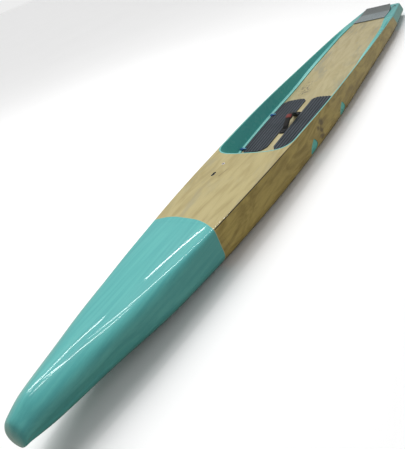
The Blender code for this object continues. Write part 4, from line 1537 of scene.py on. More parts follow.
@dataclass
class Cockpit:
    """Sunk standing area: floor panel and teal walls with a ledge at their foot."""

    hull: Hull
    # Half width of the floor panel
    floor_edge: HullLine = HullLine((1.7, 1.86, 2.09, 2.34, 2.65, 3.11, 3.58, 3.88),
                                    (0.17, 0.176, 0.184, 0.187, 0.184, 0.171, 0.162, 0.128))
    crest: float = 0.0022  # radius of the walls' top edges
    fillet: float = 0.006  # radius of the corner between wall and ledge
    rim_highlight_share: float = 0.6  # share of the painted highlight on the rim, where the ledge's is 1
    fade: Pair = (2.9, 3.5)  # stations between which the painted highlight on ledge and rim weakens

    def section(self, stations: Array) -> Array:
        """Wall section at each station.

        Args:
            stations: Its stations.

        Returns:
            Its six corners (offset, height), as an array (station, corner, 2).
        """
        form, hull = self.hull.form, self.hull
        top, foot = form.height_line.at(stations), hull.wall_foot.at(stations)
        inner = self.floor_edge.at(stations) + GAP
        low = form.half_section(stations)[0][:, SPLIT, 1]
        ledge = np.minimum(hull.floor.at(stations) + hull.ledge_rise, top - 0.0002)
        gunwale = form.edge(stations) - hull.gunwale.at(stations) - GAP
        corners = [(foot + hull.liner - hull.clearance, low), (gunwale, top), (gunwale - hull.rim_top, top),
                   (foot, ledge), (inner, ledge), (inner, low)]
        return np.stack([stacked(*corner) for corner in corners], axis=1)

    def wall(self, name: str, corners: Array, replaced: str) -> Piece:
        """Wall of a section whose corners are rounded. Its map holds the station and the share of painted highlight on
        its ledge and rim.

        Args:
            name: Name of the piece.
            corners: World points of the section's corners, as an array (ring, corner, 3).
            replaced: Frame node that it stands for.

        Returns:
            The piece.
        """
        rings = rounded_corners(corners, (0.0, 0.001, self.crest, self.fillet, 0.0012, 0.0), 6)
        aft, height = self.hull.form.x(rings[..., 0]), rings[..., 2]
        on_rim = height > height.max(axis=1, keepdims=True) - 0.0006
        on_ledge = np.abs(height - corners[:, 3, 2:]) < 0.0008
        # Share of painted highlight: full on the ledge, less on the rim, weaker aft.
        share = np.where(on_ledge, 1.0, np.where(on_rim, self.rim_highlight_share, 0.0))
        share = share * (1 - 0.65 * smooth_step(*self.fade, aft))
        return show(name, loft(rings, stacked(aft, share)), LinerCoat(), [replaced])

    def side_wall(self, side: Side) -> Piece:
        """Wall and ledge along one side, from the rim's end to the tail deck.

        Args:
            side: The side that it is on.

        Returns:
            The piece.
        """
        stations = self.hull.cockpit_stations()
        points = self.section(stations) * np.array((side.value, 1.0))
        corners = self.hull.form.world(stations[:, None], points[..., 0], points[..., 1])
        return self.wall(f"cockpit_wall_{side.word}", corners, f"liner_{side.word}")

    def front_wall(self) -> Piece:
        """The same section carried round the rim between the ends of the side walls.

        Returns:
            The piece.
        """
        hull, form = self.hull, self.hull.form
        section = self.section(np.array([hull.rim_end]))[0]
        start, ledge = hull.wall_start, section[3, 0] - section[4, 0]
        fronts = (start - hull.liner + hull.clearance, hull.rim_front, hull.rim_front + hull.rim_top, start,
                  start + ledge, start + ledge)
        curves = [hull.rim(front, offset, 0.0) for front, offset in zip(fronts, section[:, 0])]
        levels = [form.deck(*curve.T) if corner in (1, 2) else section[corner, 1]
                  for corner, curve in enumerate(curves)]
        corners = [form.world(*curve.T, level) for curve, level in zip(curves, levels)]
        return self.wall("cockpit_wall_front", np.stack(corners, axis=1), "front_liner")

    def floor(self) -> Piece:
        """Floor panel, round at the front as the rim is, in rings across the board.

        Returns:
            The piece.
        """
        hull, form = self.hull, self.hull.form
        inner = float(self.floor_edge.at(hull.rim_end))
        front = hull.rim(hull.wall_start + float(hull.wall_foot.at(hull.rim_end)) - inner, inner, 0.0, 64)[32:]
        tail = even_stations(hull.rim_end, hull.cockpit_rear, hull.step)[1:]
        stations = np.concatenate([front[:, 0] + 0.0002, tail])
        width = np.maximum(np.concatenate([front[:, 1], self.floor_edge.at(tail)]), 0.004)
        keep = np.concatenate([[True], np.diff(stations) > 1e-5])
        stations, width = stations[keep], width[keep, None]
        across = np.linspace(-1, 1, 25)
        low = form.half_section(stations)[0][:, SPLIT, 1:]
        section = np.concatenate([stacked(width * across, hull.floor.at(stations)[:, None]),
                                  stacked(width * across[::-1], low)], axis=1)
        rings = form.world(stations[:, None], section[..., 0], section[..., 1])
        return show("floor_panel", loft(rings), FloorVeneer(), ["cockpit_floor"])


@dataclass
class FootPads:
    """Grooved foam pads either side of the floor's centre line."""

    hull: Hull
    front: float = 1.856  # station of their front ends
    rear: float = 2.545  # station of their rear ends
    inner: float = 0.021  # distance of their inner edges from the centre line
    # Distance of their outer edges
    outer: HullLine = HullLine((1.856, 2.09, 2.34, 2.545), (0.1735, 0.1815, 0.1845, 0.1825))
    thickness: float = 0.005  # thickness of the foam
    sweep: float = 0.02  # how far their ends lean along the board
    corner: float = 0.048  # radius of their corners in plan
    pitch: float = 0.0195  # distance between grooves
    groove: Pair = (0.008, 0.003)  # width and depth of a groove
    edge_round: float = 0.0016  # radius of the upper edges

    def build(self) -> None:
        """Make both pads."""
        for side in Side:
            self.pad(side)

    def pad(self, side: Side) -> Piece:
        """One pad: rows of constant share across, each between the rounded ends of the outline, with a
        V shaped groove at each pitch and edges rounded by a quarter circle.

        Args:
            side: The side that it is on.

        Returns:
            The piece.
        """
        width = self.outer.values[0] - self.inner
        share, depth = groove_rows(width, self.pitch, self.groove[0], self.edge_round)
        from_side = np.minimum(share, 1 - share) * width
        arc = self.corner * (1 - np.sqrt(np.clip(1 - (1 - np.minimum(from_side / self.corner, 1)) ** 2, 0, 1)))
        start = (self.front + self.sweep * (1 - share) + arc)[:, None]
        end = (self.rear - self.sweep * share - arc)[:, None]
        aft = start + end_shares(float(np.mean(end - start)), self.edge_round, 44) * (end - start)
        y = self.inner + share[:, None] * (self.outer.at(aft) - self.inner)
        inside = np.minimum(np.minimum(aft - start, end - aft), from_side[:, None])
        base = float(self.hull.floor.at(2.0)) + GAP
        height = base + self.thickness - quarter_drop(inside, self.edge_round) - self.groove[1] * depth[:, None]
        # The map's first value is the groove depth, by which the foam darkens as painted shade.
        mesh = slab(self.hull.form.world(aft, y * side.value, height), base, stacked(depth[:, None], aft), 50.0)
        return show(f"foot_pad_foam_{side.word}", mesh, FoamFinish(), [f"foot_pad_{side.word}"])


@dataclass
class TailPad:
    """Foam pad of the tail, with grooves and a kick at its rear."""

    hull: Hull
    front: float = 3.872  # station of its front end
    rear: float = 4.168  # station of its rear end
    half: Pair = (0.128, 0.101)  # half width at the front and at the rear
    thickness: float = 0.005  # thickness of the foam
    kick_front: float = 4.0  # station where the kick starts to rise
    kick_rise: float = 0.027  # how far the kick rises
    pitch: float = 0.0115  # distance between grooves
    groove: Pair = (0.003, 0.0018)  # width and depth of a groove
    edge_round: float = 0.0022  # radius of the upper edges

    def build(self) -> Piece:
        """Sections across the board: grooved top with rounded sides over a flat foot. The top climbs with
        the 1.5th power of the share of the kick's length.

        Returns:
            The piece.
        """
        form, length, width = self.hull.form, self.rear - self.front, 2 * self.half[0]
        aft = self.front + end_shares(length, self.edge_round, 60)[:, None] * length
        share, depth = groove_rows(width, self.pitch, self.groove[0], self.edge_round)
        half = self.half[0] + (self.half[1] - self.half[0]) * ((aft - self.front) / length) ** 3
        base = form.deck(aft, 0.0) + GAP
        climb = np.clip((aft - self.kick_front) / (self.rear - self.kick_front), 0.0, 1.0) ** 1.5
        inside = np.minimum(np.minimum(aft - self.front, self.rear - aft), np.minimum(share, 1 - share) * width)
        fade = smooth_step(0.0, 0.004, self.rear - aft)
        height = (base + self.thickness + self.kick_rise * climb - quarter_drop(inside, self.edge_round)
                  - self.groove[1] * depth * fade)
        top = form.world(aft, half * (2 * share - 1), height)
        rings = np.concatenate([top, form.world(aft, half, base), form.world(aft, -half, base)], axis=1)
        # The map's first value is the groove depth, by which the foam darkens as painted shade.
        mesh = loft(rings, stacked(np.concatenate([depth, (0.0, 0.0)]), aft), 50.0)
        return show("tail_pad_foam", mesh, TailFoam(), ["tail_pad"])


@dataclass
class CarryHandle:
    """Padded strap on the centre line, with its red patch, plates and screws."""

    hull: Hull
    aft: float = 2.204  # station of its middle
    # Height of the strap's underside by distance aft of its middle
    rise: HullLine = HullLine((-0.135, -0.08, -0.055, -0.025, 0.0, 0.024, 0.048, 0.066, 0.08, 0.089, 0.135),
                              (0.0, 0.0, 0.01, 0.0235, 0.033, 0.037, 0.0325, 0.02, 0.006, 0.0, 0.0))
    width: float = 0.033  # width of the strap
    webbing: float = 0.0026  # thickness of the webbing
    sleeve: Pair = (0.013, 0.0052)  # thickness of the padded sleeve in its middle and at its ends
    sleeve_power: float = 2.9  # how square the sleeve's section is
    sleeve_span: Pair = (-0.08, 0.086)  # where the sleeve starts and ends
    seam_inset: float = 0.0036  # distance of the sleeve's seams from its edges
    hem_inset: float = 0.0065  # distance of its hems from its ends
    patch_span: Pair = (-0.008, 0.02)  # where the red patch starts and ends
    patch_thick: float = 0.0011  # distance of the patch's upper face above the sleeve's
    stitch: Pair = (0.0042, 0.0031)  # pitch and length of a stitch
    plate_size: Triple = (0.042, 0.035, 0.0035)  # length, width and height of a plate
    plate_reach: float = 0.111  # distance of the plates from the middle

    def level(self) -> float:
        """Height of the strap's flat ends above the ground."""
        return float(self.hull.floor.at(self.aft)) + GAP

    def frame(self, offset: Array) -> tuple[Array, Array]:
        """Points of the strap's underside and its normals there.

        Args:
            offset: Distances aft of the middle.

        Returns:
            World points (x, z), and unit normals (x, z).
        """
        step = 0.0008
        slope = (self.rise.at(offset + step) - self.rise.at(offset - step)) / (2 * step)
        normal = stacked(slope, 1.0)
        base = stacked(self.hull.form.x(self.aft + offset), self.level() + self.rise.at(offset))
        return base, normal / np.linalg.norm(normal, axis=-1, keepdims=True)

    def section(self, offset: Array, thick: Array, power: float, turn: Array, grow: Array | float = 0.0,
                half: float | None = None) -> Array:
        """Super-ellipse across the strap: |y / a| and |z / b| to a power add up to 1.

        Args:
            offset: Distance aft of the middle, for each ring.
            thick: Thickness there, for each ring.
            power: How square it is.
            turn: Angles of the points of a ring.
            grow: How far it is pushed outwards.
            half: Half width, or None for that of the strap.

        Returns:
            World points, as an array (ring, point, axis).
        """
        wide, high = (np.sign(wave) * np.abs(wave) ** (2 / power) for wave in (np.cos(turn), np.sin(turn)))
        base, normal = (values[:, None] for values in self.frame(offset))
        lift = thick[:, None] / 2 + (thick[:, None] / 2 + grow) * high
        place = base + normal * lift[..., None]
        return stacked(place[..., 0], ((self.width / 2 if half is None else half) + grow) * wide, place[..., 1])

    def webbing_strap(self) -> Piece:
        """Flat webbing from end to end, with singed, slightly rounded ends.

        Returns:
            The piece.
        """
        start, end = self.rise.stations[0], self.rise.stations[-1]
        offset = start + end_shares(end - start, 0.002, 90) * (end - start)
        thick = self.webbing - 0.4 * quarter_drop(np.minimum(offset - start, end - offset), 0.002)
        rings = self.section(offset, thick, 6.0, turns(40), 0.0, self.width / 2 - 0.0012)
        mesh = loft(rings, stacked(offset[:, None], rings[..., 1]), 60.0)
        return show("handle_webbing", mesh, ClothFinish())

    def sleeve_thickness(self, offset: Array) -> Array:
        """Thickness of the sleeve: full in its middle, pinched at its hems and a little at each seam.

        Args:
            offset: Distances aft of the middle.

        Returns:
            The thickness at each.
        """
        (start, end), (full, thin) = self.sleeve_span, self.sleeve
        near = np.minimum(offset - start, end - offset)
        swell = thin + (full - thin) * smooth_step(0.0, 0.016, near)
        hem = 0.0007 * np.exp(-((near - self.hem_inset) / 0.0016) ** 2)
        return swell - hem - 0.6 * quarter_drop(near, 0.0018)

    def padded_sleeve(self) -> Piece:
        """Crowned padded sleeve that the webbing runs through, drawn in along its seams in small waves.

        Returns:
            The piece.
        """
        start, end = self.sleeve_span
        offset = start + end_shares(end - start, 0.0018, 110) * (end - start)
        turn = np.linspace(0, math.tau, 73)[:-1]
        rings = self.section(offset, self.sleeve_thickness(offset), self.sleeve_power, turn)
        from_seam = np.abs(rings[..., 1]) - (self.width / 2 - self.seam_inset)
        wave = 1 + 0.25 * np.cos(offset * math.tau / self.stitch[0])[:, None]
        sunk = np.exp(-(from_seam / 0.0011) ** 2) * 0.0006 * wave * np.where(np.sin(turn) > 0, 1.0, -1.0)
        rings[..., ::2] -= self.frame(offset)[1][:, None] * sunk[..., None]
        uv = stacked(offset[:, None], 0.0012 * np.arange(1, len(turn) + 1))
        # Dark weave hollows as painted shade and lighter thread crowns as painted highlight.
        finish = ClothFinish("sleeve_cloth", (0.006, 0.005, 0.005), (0.018, 0.014, 0.013), 0.0011, 0.9)
        return show("handle_sleeve", loft(rings, uv, 60.0), finish, ["handle_strap"])

    def patch(self) -> Piece:
        """Red cloth over the sleeve's top and sides, with a folded hem along its ends.

        Returns:
            The piece.
        """
        start, end = self.patch_span
        offset = start + end_shares(end - start, 0.001, 34) * (end - start)
        turn = np.linspace(-0.2, math.pi + 0.2, 45)
        thick = self.sleeve_thickness(offset)
        lift = self.patch_thick - 0.6 * quarter_drop(np.minimum(offset - start, end - offset), 0.001)
        rings = np.concatenate([self.section(offset, thick, self.sleeve_power, turn, lift[:, None]),
                                self.section(offset, thick, self.sleeve_power, turn[::-1], 0.0001)], axis=1)
        run = np.concatenate([np.arange(45), np.arange(45)[::-1]]) * 0.0011
        # Dark weave hollows as painted shade and lighter thread crowns as painted highlight.
        finish = ClothFinish("red_cloth", (0.15, 0.018, 0.015), (0.24, 0.04, 0.03), 0.001, 0.8)
        return show("handle_red_cloth", loft(rings, stacked(offset[:, None], run), 60.0), finish,
                    ["handle_patch"])

    def stitches(self) -> Piece:
        """Rows of thread along both edges of the sleeve and across its hems: each stitch is a small closed
        lozenge, thick in the middle, that follows the cloth.

        Returns:
            The piece.
        """
        start, end = self.sleeve_span
        offset = np.arange(start + 0.006, end - 0.004, self.stitch[0])
        across = np.arange(-0.0115, 0.0116, 0.0038)
        edge = np.full(len(offset), self.width / 2 - self.seam_inset)
        runs = [self.thread(offset, side * edge, True) for side in (-1, 1)]
        runs += [self.thread(np.full(len(across), hem), across, False)
                 for hem in (start + self.hem_inset, end - self.hem_inset)]
        points = np.concatenate(runs)
        count, rows, around = points.shape[:3]
        quads = grid_quads(rows, around)
        caps = np.array([np.arange(around)[::-1], np.arange(around) + (rows - 1) * around])
        if not facing_out(points[0].reshape(-1, 3), quads):
            quads, caps = quads[:, ::-1], caps[:, ::-1]
        shift = rows * around * np.arange(count)[:, None, None]
        faces = (quads + shift).reshape(-1, 4).tolist() + (caps + shift).reshape(-1, around).tolist()
        finish = PlasticFinish("thread", (0.075, 0.07, 0.066), (0.12, 0.112, 0.105), 0.6)
        return show("handle_stitches", make_mesh(points.reshape(-1, 3), faces, None, 60.0), finish)

    def thread(self, offset: Array, across: Array, lengthwise: bool) -> Array:
        """Rings of a row of stitches.

        Args:
            offset: Distance of each stitch aft of the middle.
            across: Its distance to port of the centre line.
            lengthwise: Whether the stitches lie along the strap, sunk in its seam.

        Returns:
            World points, as an array (stitch, ring, point, axis).
        """
        along, turn = float(lengthwise), turns(6)
        reach = np.array([-0.5, -0.28, 0.28, 0.5]) * self.stitch[1]
        radius = np.array([0.00018, 0.00036, 0.00036, 0.00018])[:, None]
        here, over = offset[:, None] + along * reach, across[:, None] + (1 - along) * reach
        share = np.clip(np.abs(over) / (self.width / 2), 0, 1)
        crown = (1 - share ** self.sleeve_power) ** (1 / self.sleeve_power)
        top = self.sleeve_thickness(here) / 2 * (1 + crown) - 0.0006 * along + 0.0001
        base, normal = (values[:, :, None] for values in self.frame(here))
        slide = (1 - along) * radius * np.cos(turn)
        lift = top[..., None] + radius * np.sin(turn)
        tangent = stacked(normal[..., 1], -normal[..., 0])
        place = base + normal * lift[..., None] + tangent * slide[..., None]
        return stacked(place[..., 0], over[..., None] + along * radius * np.cos(turn), place[..., 1])

    def plates(self) -> None:
        """Plates with chamfered edges over the webbing's ends, each held by two screws."""
        length, width, height = self.plate_size
        base = self.level() + 0.003 + GAP
        top = base + height
        black = PlasticFinish("anchor_black", (0.008, 0.008, 0.009), (0.02, 0.02, 0.022), 0.6)
        dark = SteelFinish("black_steel", (0.1, 0.1, 0.1), (0.06, 0.06, 0.06))
        levels = ((0.0004, base), (0.0, base + 0.0005), (0.0, top - 0.0014), (0.0005, top - 0.0004), (0.0014, top),
                  (0.006, top), (0.0068, top - 0.0006))
        for name, way in (("front", -1), ("rear", 1)):
            x = self.hull.form.x(self.aft + way * self.plate_reach)
            mesh = plate(oblong_outline((x, 0.0), (length, width), 0.01), levels)
            show(f"handle_plate_{name}", mesh, black, [f"handle_anchor_{name}"])
            heads = [screw((x + step, 0.0, top - 0.0004)) for step in (-0.011, 0.011)]
            show(f"handle_screws_{name}", joined(heads), dark)

    def build(self) -> None:
        """Make the whole handle."""
        self.webbing_strap()
        self.padded_sleeve()
        self.patch()
        self.stitches()
        self.plates()


@dataclass
class Drains:
    """Blue plugs on the ledge along the cockpit walls, and the drop shaped outlets outside."""

    hull: Hull
    plugs: tuple[Pair, Pair] = ((1.896, 0.181), (2.325, 0.184))  # station and offset of the plugs
    radius: float = 0.0125  # radius of a plug
    knurls: int = 24  # ribs round a plug
    outlets: Pair = (1.925, 2.372)  # stations of the outlets
    top: float = 0.091  # height of an outlet's point
    bottom: float = 0.03  # height of its lowest point
    half_length: float = 0.042  # half of its length
    lean: float = 0.022  # how far its point leans forward
    recess: float = 0.002  # how deep its rim lies under the skin
    thickness: float = 0.004  # thickness of its inlay
    dish: float = 0.0012  # how much deeper its middle lies

    def drop(self, grow: float, count: int = 84) -> Array:
        """Drop outline as (aft, up) offsets from its middle: pointed above, round below, leaning forward.

        Args:
            grow: How far it is pushed outwards.
            count: Points round it.

        Returns:
            Its points.
        """
        turn = math.tau * (np.arange(count) + 0.5) / count
        across = 1.3 * np.sin(turn) * np.sin(turn / 2) ** 0.9
        half = (self.top - self.bottom) / 2 + grow
        return stacked(across * (self.half_length + grow) + self.lean * np.cos(turn), np.cos(turn) * half)

    def on_side(self, aft: float, side: Side, offsets: Array, depth: float) -> Array:
        """World points on the outer side of the board.

        Args:
            aft: Station of an outlet's middle.
            side: The side that it is on.
            offsets: Offsets (aft, up) from its middle.
            depth: Depth under the skin.

        Returns:
            The points.
        """
        station = aft + offsets[..., 0]
        height = (self.top + self.bottom) / 2 + offsets[..., 1]
        y = self.hull.form.side(station, height) - depth
        return self.hull.form.world(station, y * side.value, height)

    def pockets(self, side: Side) -> list[Mesh]:
        """Solids that the skin is cut with round both outlets of a side.

        Args:
            side: The side that they are on.

        Returns:
            Their meshes.
        """
        outline = self.drop(GAP)
        deep = self.recess + self.thickness + GAP
        return [loft(np.stack([self.on_side(aft, side, outline, depth) for depth in (deep, 0.5 * deep, -0.006)]))
                for aft in self.outlets]

    def outlet(self, name: str, aft: float, side: Side) -> Piece:
        """Dished inlay: rings from its back over a rounded rim to a smooth hollow in the middle.

        Args:
            name: Name of the frame node that it stands for.
            aft: Station of its middle.
            side: The side that it is on.

        Returns:
            The piece.
        """
        outline, middle = self.drop(0.0), np.array([0.0, -0.004])
        hollow = np.linspace(0.94, 0.02, 16)
        shares = np.concatenate([np.ones(3), 1 - 0.028 * np.array([0.35, 0.75, 1.2]), hollow])
        depths = self.recess + np.concatenate([(self.thickness, 0.002, 0.0006, 0.0002, 0.0, 0.0001),
                                               self.dish * (1 - hollow ** 2) ** 1.2])
        rings = [self.on_side(aft, side, middle + (outline - middle) * share, depth)
                 for share, depth in zip(shares, depths)]
        return show(f"{name}_inlay", loft(np.stack(rings), None, 40.0), TealCoat(), [name])

    def plug(self, name: str, spot: Pair, side: Side) -> None:
        """Knurled round body with a domed cap, and a finger tab that lies over it, coloured a lighter blue as painted
        highlight of the lit top.

        Args:
            name: Name of the frame node that it stands for.
            spot: Station and offset of its middle.
            side: The side that it is on.
        """
        x, y = self.hull.form.x(spot[0]), side.value * spot[1]
        base = float(self.hull.floor.at(spot[0])) + self.hull.ledge_rise + GAP
        turn = turns(96)
        radii = np.array([0.97, 1.0, 1.0, 0.97, 0.86, 0.8, 0.74, 0.45, 0.1]) * self.radius
        heights = np.array([0.0, 0.0003, 0.0052, 0.006, 0.0064, 0.0066, 0.008, 0.0092, 0.0096])
        knurl = np.array([1.0, 1.0, 1.0, 0.6, 0.0, 0.0, 0.0, 0.0, 0.0]) * 0.035 / 2
        reach = radii[:, None] * (1 + knurl[:, None] * (np.cos(self.knurls * turn) - 1))
        rings = stacked(x + reach * np.cos(turn), y + reach * np.sin(turn), base + heights[:, None])
        dark = PlasticFinish("blue_moulded", (0.01, 0.075, 0.27), (0.025, 0.13, 0.4), 0.3)
        # Lighter blue of the tab: painted highlight of the plug's lit top.
        light = PlasticFinish("blue_tab", (0.1, 0.33, 0.6), (0.18, 0.43, 0.68), 0.32)
        show(f"{name}_body", loft(rings), dark, [name])
        low, high = base + 0.0026, base + 0.0092
        levels = ((0.0006, low), (0.0, low + 0.0006), (0.0, high - 0.0016), (0.0004, high - 0.0006), (0.0014, high),
                  (0.0022, high - 0.0003))
        tab = plate(oblong_outline((x, y - side.value * 0.018), (0.007, 0.024), 0.0034), levels)
        show(f"{name}_tab", tab, light)

    def build(self) -> None:
        """Make the plugs and the outlets of both sides."""
        for side in Side:
            for end, spot, outlet_aft in zip(("front", "rear"), self.plugs, self.outlets):
                self.plug(f"drain_plug_{side.word}_{end}", spot, side)
                self.outlet(f"drain_outlet_{side.word}_{end}", outlet_aft, side)


@dataclass
class DeckFittings:
    """Vent, oval insert and leash plug, each let into the deck."""

    hull: Hull
    vent: Pair = (1.578, -0.091)  # station and offset of the vent
    vent_radius: float = 0.009  # its radius
    insert: Pair = (1.473, -0.09)  # station and offset of the oval insert
    insert_size: Pair = (0.04, 0.016)  # its length and width
    leash: Pair = (4.185, 0.126)  # station and offset of the leash plug
    leash_radius: float = 0.014  # its radius
    bar: float = 0.0012  # radius of the bar in it
    depth: float = 0.006  # depth of the vent and the insert
    leash_depth: float = 0.005  # depth of the leash plug
    axis: float = 0.0001  # radius at which solids of revolution close on their axis

    def spot(self, place: Pair) -> Array:
        """World point of the deck at a station and offset."""
        return self.hull.form.world(*place, self.hull.form.deck(*place))

    def round_pocket(self, place: Pair, radius: float, depth: float) -> Mesh:
        """Round solid that the deck is cut with.

        Args:
            place: Station and offset of its middle.
            radius: Radius of what is let in.
            depth: Its depth.

        Returns:
            Its mesh.
        """
        wide, deep = radius + GAP, -depth - GAP
        profile = np.array([[self.axis, 0.02], [wide, 0.02], [wide, deep], [self.axis, deep]])
        return turned(profile, self.spot(place), 64)

    def fore_pockets(self) -> list[Mesh]:
        """Pockets of the vent and the oval insert.

        Returns:
            Their meshes.
        """
        x, y, z = self.spot(self.insert)
        size = tuple(value + 2 * GAP for value in self.insert_size)
        oval = plate(oblong_outline((x, y), size, size[1] / 2), ((0.0, z - self.depth - GAP), (0.0, z + 0.02)))
        return [self.round_pocket(self.vent, self.vent_radius, self.depth), oval]

    def tail_pockets(self) -> list[Mesh]:
        """Pocket of the leash plug."""
        return [self.round_pocket(self.leash, self.leash_radius, self.leash_depth)]

    def vent_plug(self) -> None:
        """Pale ring round a dark membrane cap."""
        radius = self.vent_radius
        ring = np.array([[0.6, -0.0022], [0.62, 0.0002], [0.66, 0.0012], [0.76, 0.0015], [0.88, 0.0013],
                         [0.97, 0.0007], [1.0, 0.0], [1.0, -self.depth], [0.6, -self.depth]]) * (radius, 1.0)
        pale = PlasticFinish("pale_moulded", (0.72, 0.69, 0.72), (0.84, 0.82, 0.84), 0.4)
        show("vent_ring", turned(ring, self.spot(self.vent), 64, ring=True), pale, ["vent_plug"])
        cap = np.array([[self.axis, 0.0004], [0.3 * radius, 0.0003], [0.5 * radius, -0.0002],
                        [0.57 * radius, -0.001], [0.57 * radius, -0.0058], [self.axis, -0.0058]])
        dark = PlasticFinish("vent_membrane", (0.03, 0.03, 0.045), (0.06, 0.06, 0.08), 0.5)
        show("vent_cap", turned(cap, self.spot(self.vent), 48), dark)

    def oval_insert(self) -> None:
        """Dark oval socket with a rim and a hollow, in which two threaded steel sleeves show."""
        x, y, z = self.spot(self.insert)
        top = z - 0.0006
        levels = ((0.0, z - self.depth + 0.0003), (0.0, top - 0.0004), (0.0004, top), (0.0016, top),
                  (0.0024, top - 0.0008), (0.003, top - 0.0026), (0.0034, top - 0.003))
        outline = oblong_outline((x, y), self.insert_size, self.insert_size[1] / 2 - 0.0001, 16)
        show("deck_socket", plate(outline, levels), PlasticFinish(), ["deck_plug"])
        sleeve = np.array([[self.axis, -0.0026], [0.0019, -0.0026], [0.002, -0.0016], [0.003, -0.0016],
                           [0.0031, -0.003], [self.axis, -0.003]])
        parts = [turned(sleeve, (x + step, y, z - 0.0004), 28) for step in (-0.0095, 0.0095)]
        show("deck_socket_sleeves", joined(parts), SteelFinish())

    def leash_plug(self) -> None:
        """Black cup with a bright bar across it."""
        radius, (x, y, z) = self.leash_radius, self.spot(self.leash)
        cup = np.array([[self.axis, -0.0042], [0.5 * radius, -0.004], [0.68 * radius, -0.003],
                        [0.74 * radius, 0.0002], [0.8 * radius, 0.001], [0.93 * radius, 0.001], [radius, 0.0003],
                        [radius, -self.leash_depth], [self.axis, -self.leash_depth]])
        show("leash_cup", turned(cup, (x, y, z), 64), PlasticFinish(), ["leash_plug"])
        along, turn = np.linspace(-0.78 * radius, 0.78 * radius, 15)[:, None], turns(20)
        rings = stacked(x + self.bar * np.cos(turn), y + along, z - self.bar + self.bar * np.sin(turn))
        show("leash_bar", loft(rings), SteelFinish())

    def build(self) -> None:
        """Make all three fittings."""
        self.vent_plug()
        self.oval_insert()
        self.leash_plug()


@dataclass
class FinBox:
    """Long box for a fin, let into the bottom with its slot open below."""

    hull: Hull
    centre: float = 3.8  # station of its middle
    size: Triple = (0.272, 0.03, 0.032)  # length, width and height of the box
    slot: Triple = (0.25, 0.0096, 0.026)  # length, width and depth of its slot
    rim: float = 0.0012  # radius of the slot's edge
    clamp_reach: float = 0.095  # distance of the clamp plate ahead of the middle

    def rings(self, levels: Sequence[tuple[Array, float, float]]) -> Array:
        """Rings that follow the bottom at a distance.

        Args:
            levels: Outline, inset and height above the bottom of each.

        Returns:
            World points, as an array (ring, point, axis).
        """
        pushed = [push_in(outline, inset) for outline, inset, _ in levels]
        return np.stack([stacked(*points.T, self.keel(points[:, 0]) + level[2])
                         for points, level in zip(pushed, levels)])

    def keel(self, x: Array | float) -> Array:
        """Height of the bottom at world x."""
        return self.hull.form.keel_line.at(self.hull.form.x(x))

    def pocket(self) -> Mesh:
        """Solid that the bottom is cut with.

        Returns:
            Its mesh.
        """
        length, width, height = (value + 2 * GAP for value in self.size)
        outline = oblong_outline((self.hull.form.x(self.centre), 0.0), (length, width), 0.004)
        return loft(self.rings([(outline, 0.0, -0.02), (outline, 0.0, height - GAP)]))

    def build(self) -> None:
        """Box with a rounded slot mouth, and the small plate that clamps a fin in it."""
        (length, width, height), (slot_length, slot_width, deep) = self.size, self.slot
        x = self.hull.form.x(self.centre)
        outer = oblong_outline((x, 0.0), (length, width), 0.0038, 12)
        inner = oblong_outline((x, 0.0), (slot_length, slot_width), slot_width / 2 - 0.0001, 12)
        rings = self.rings([(inner, 0.0, deep), (inner, 0.0, self.rim), (inner, -0.0004, 0.0004),
                            (inner, -self.rim, 0.0), (outer, 0.0012, 0.0), (outer, 0.0, 0.0006),
                            (outer, 0.0, height)])
        show("fin_box_body", loft(rings), PlasticFinish(), ["fin_box"])
        x += self.clamp_reach
        low = float(self.keel(x)) + 0.01
        clamp = plate(oblong_outline((x, 0.0), (0.012, slot_width - 0.0008), 0.0015),
                      ((0.0004, low), (0.0, low + 0.0004), (0.0, low + 0.0026), (0.0004, low + 0.003)))
        show("fin_clamp_plate", clamp, SteelFinish())


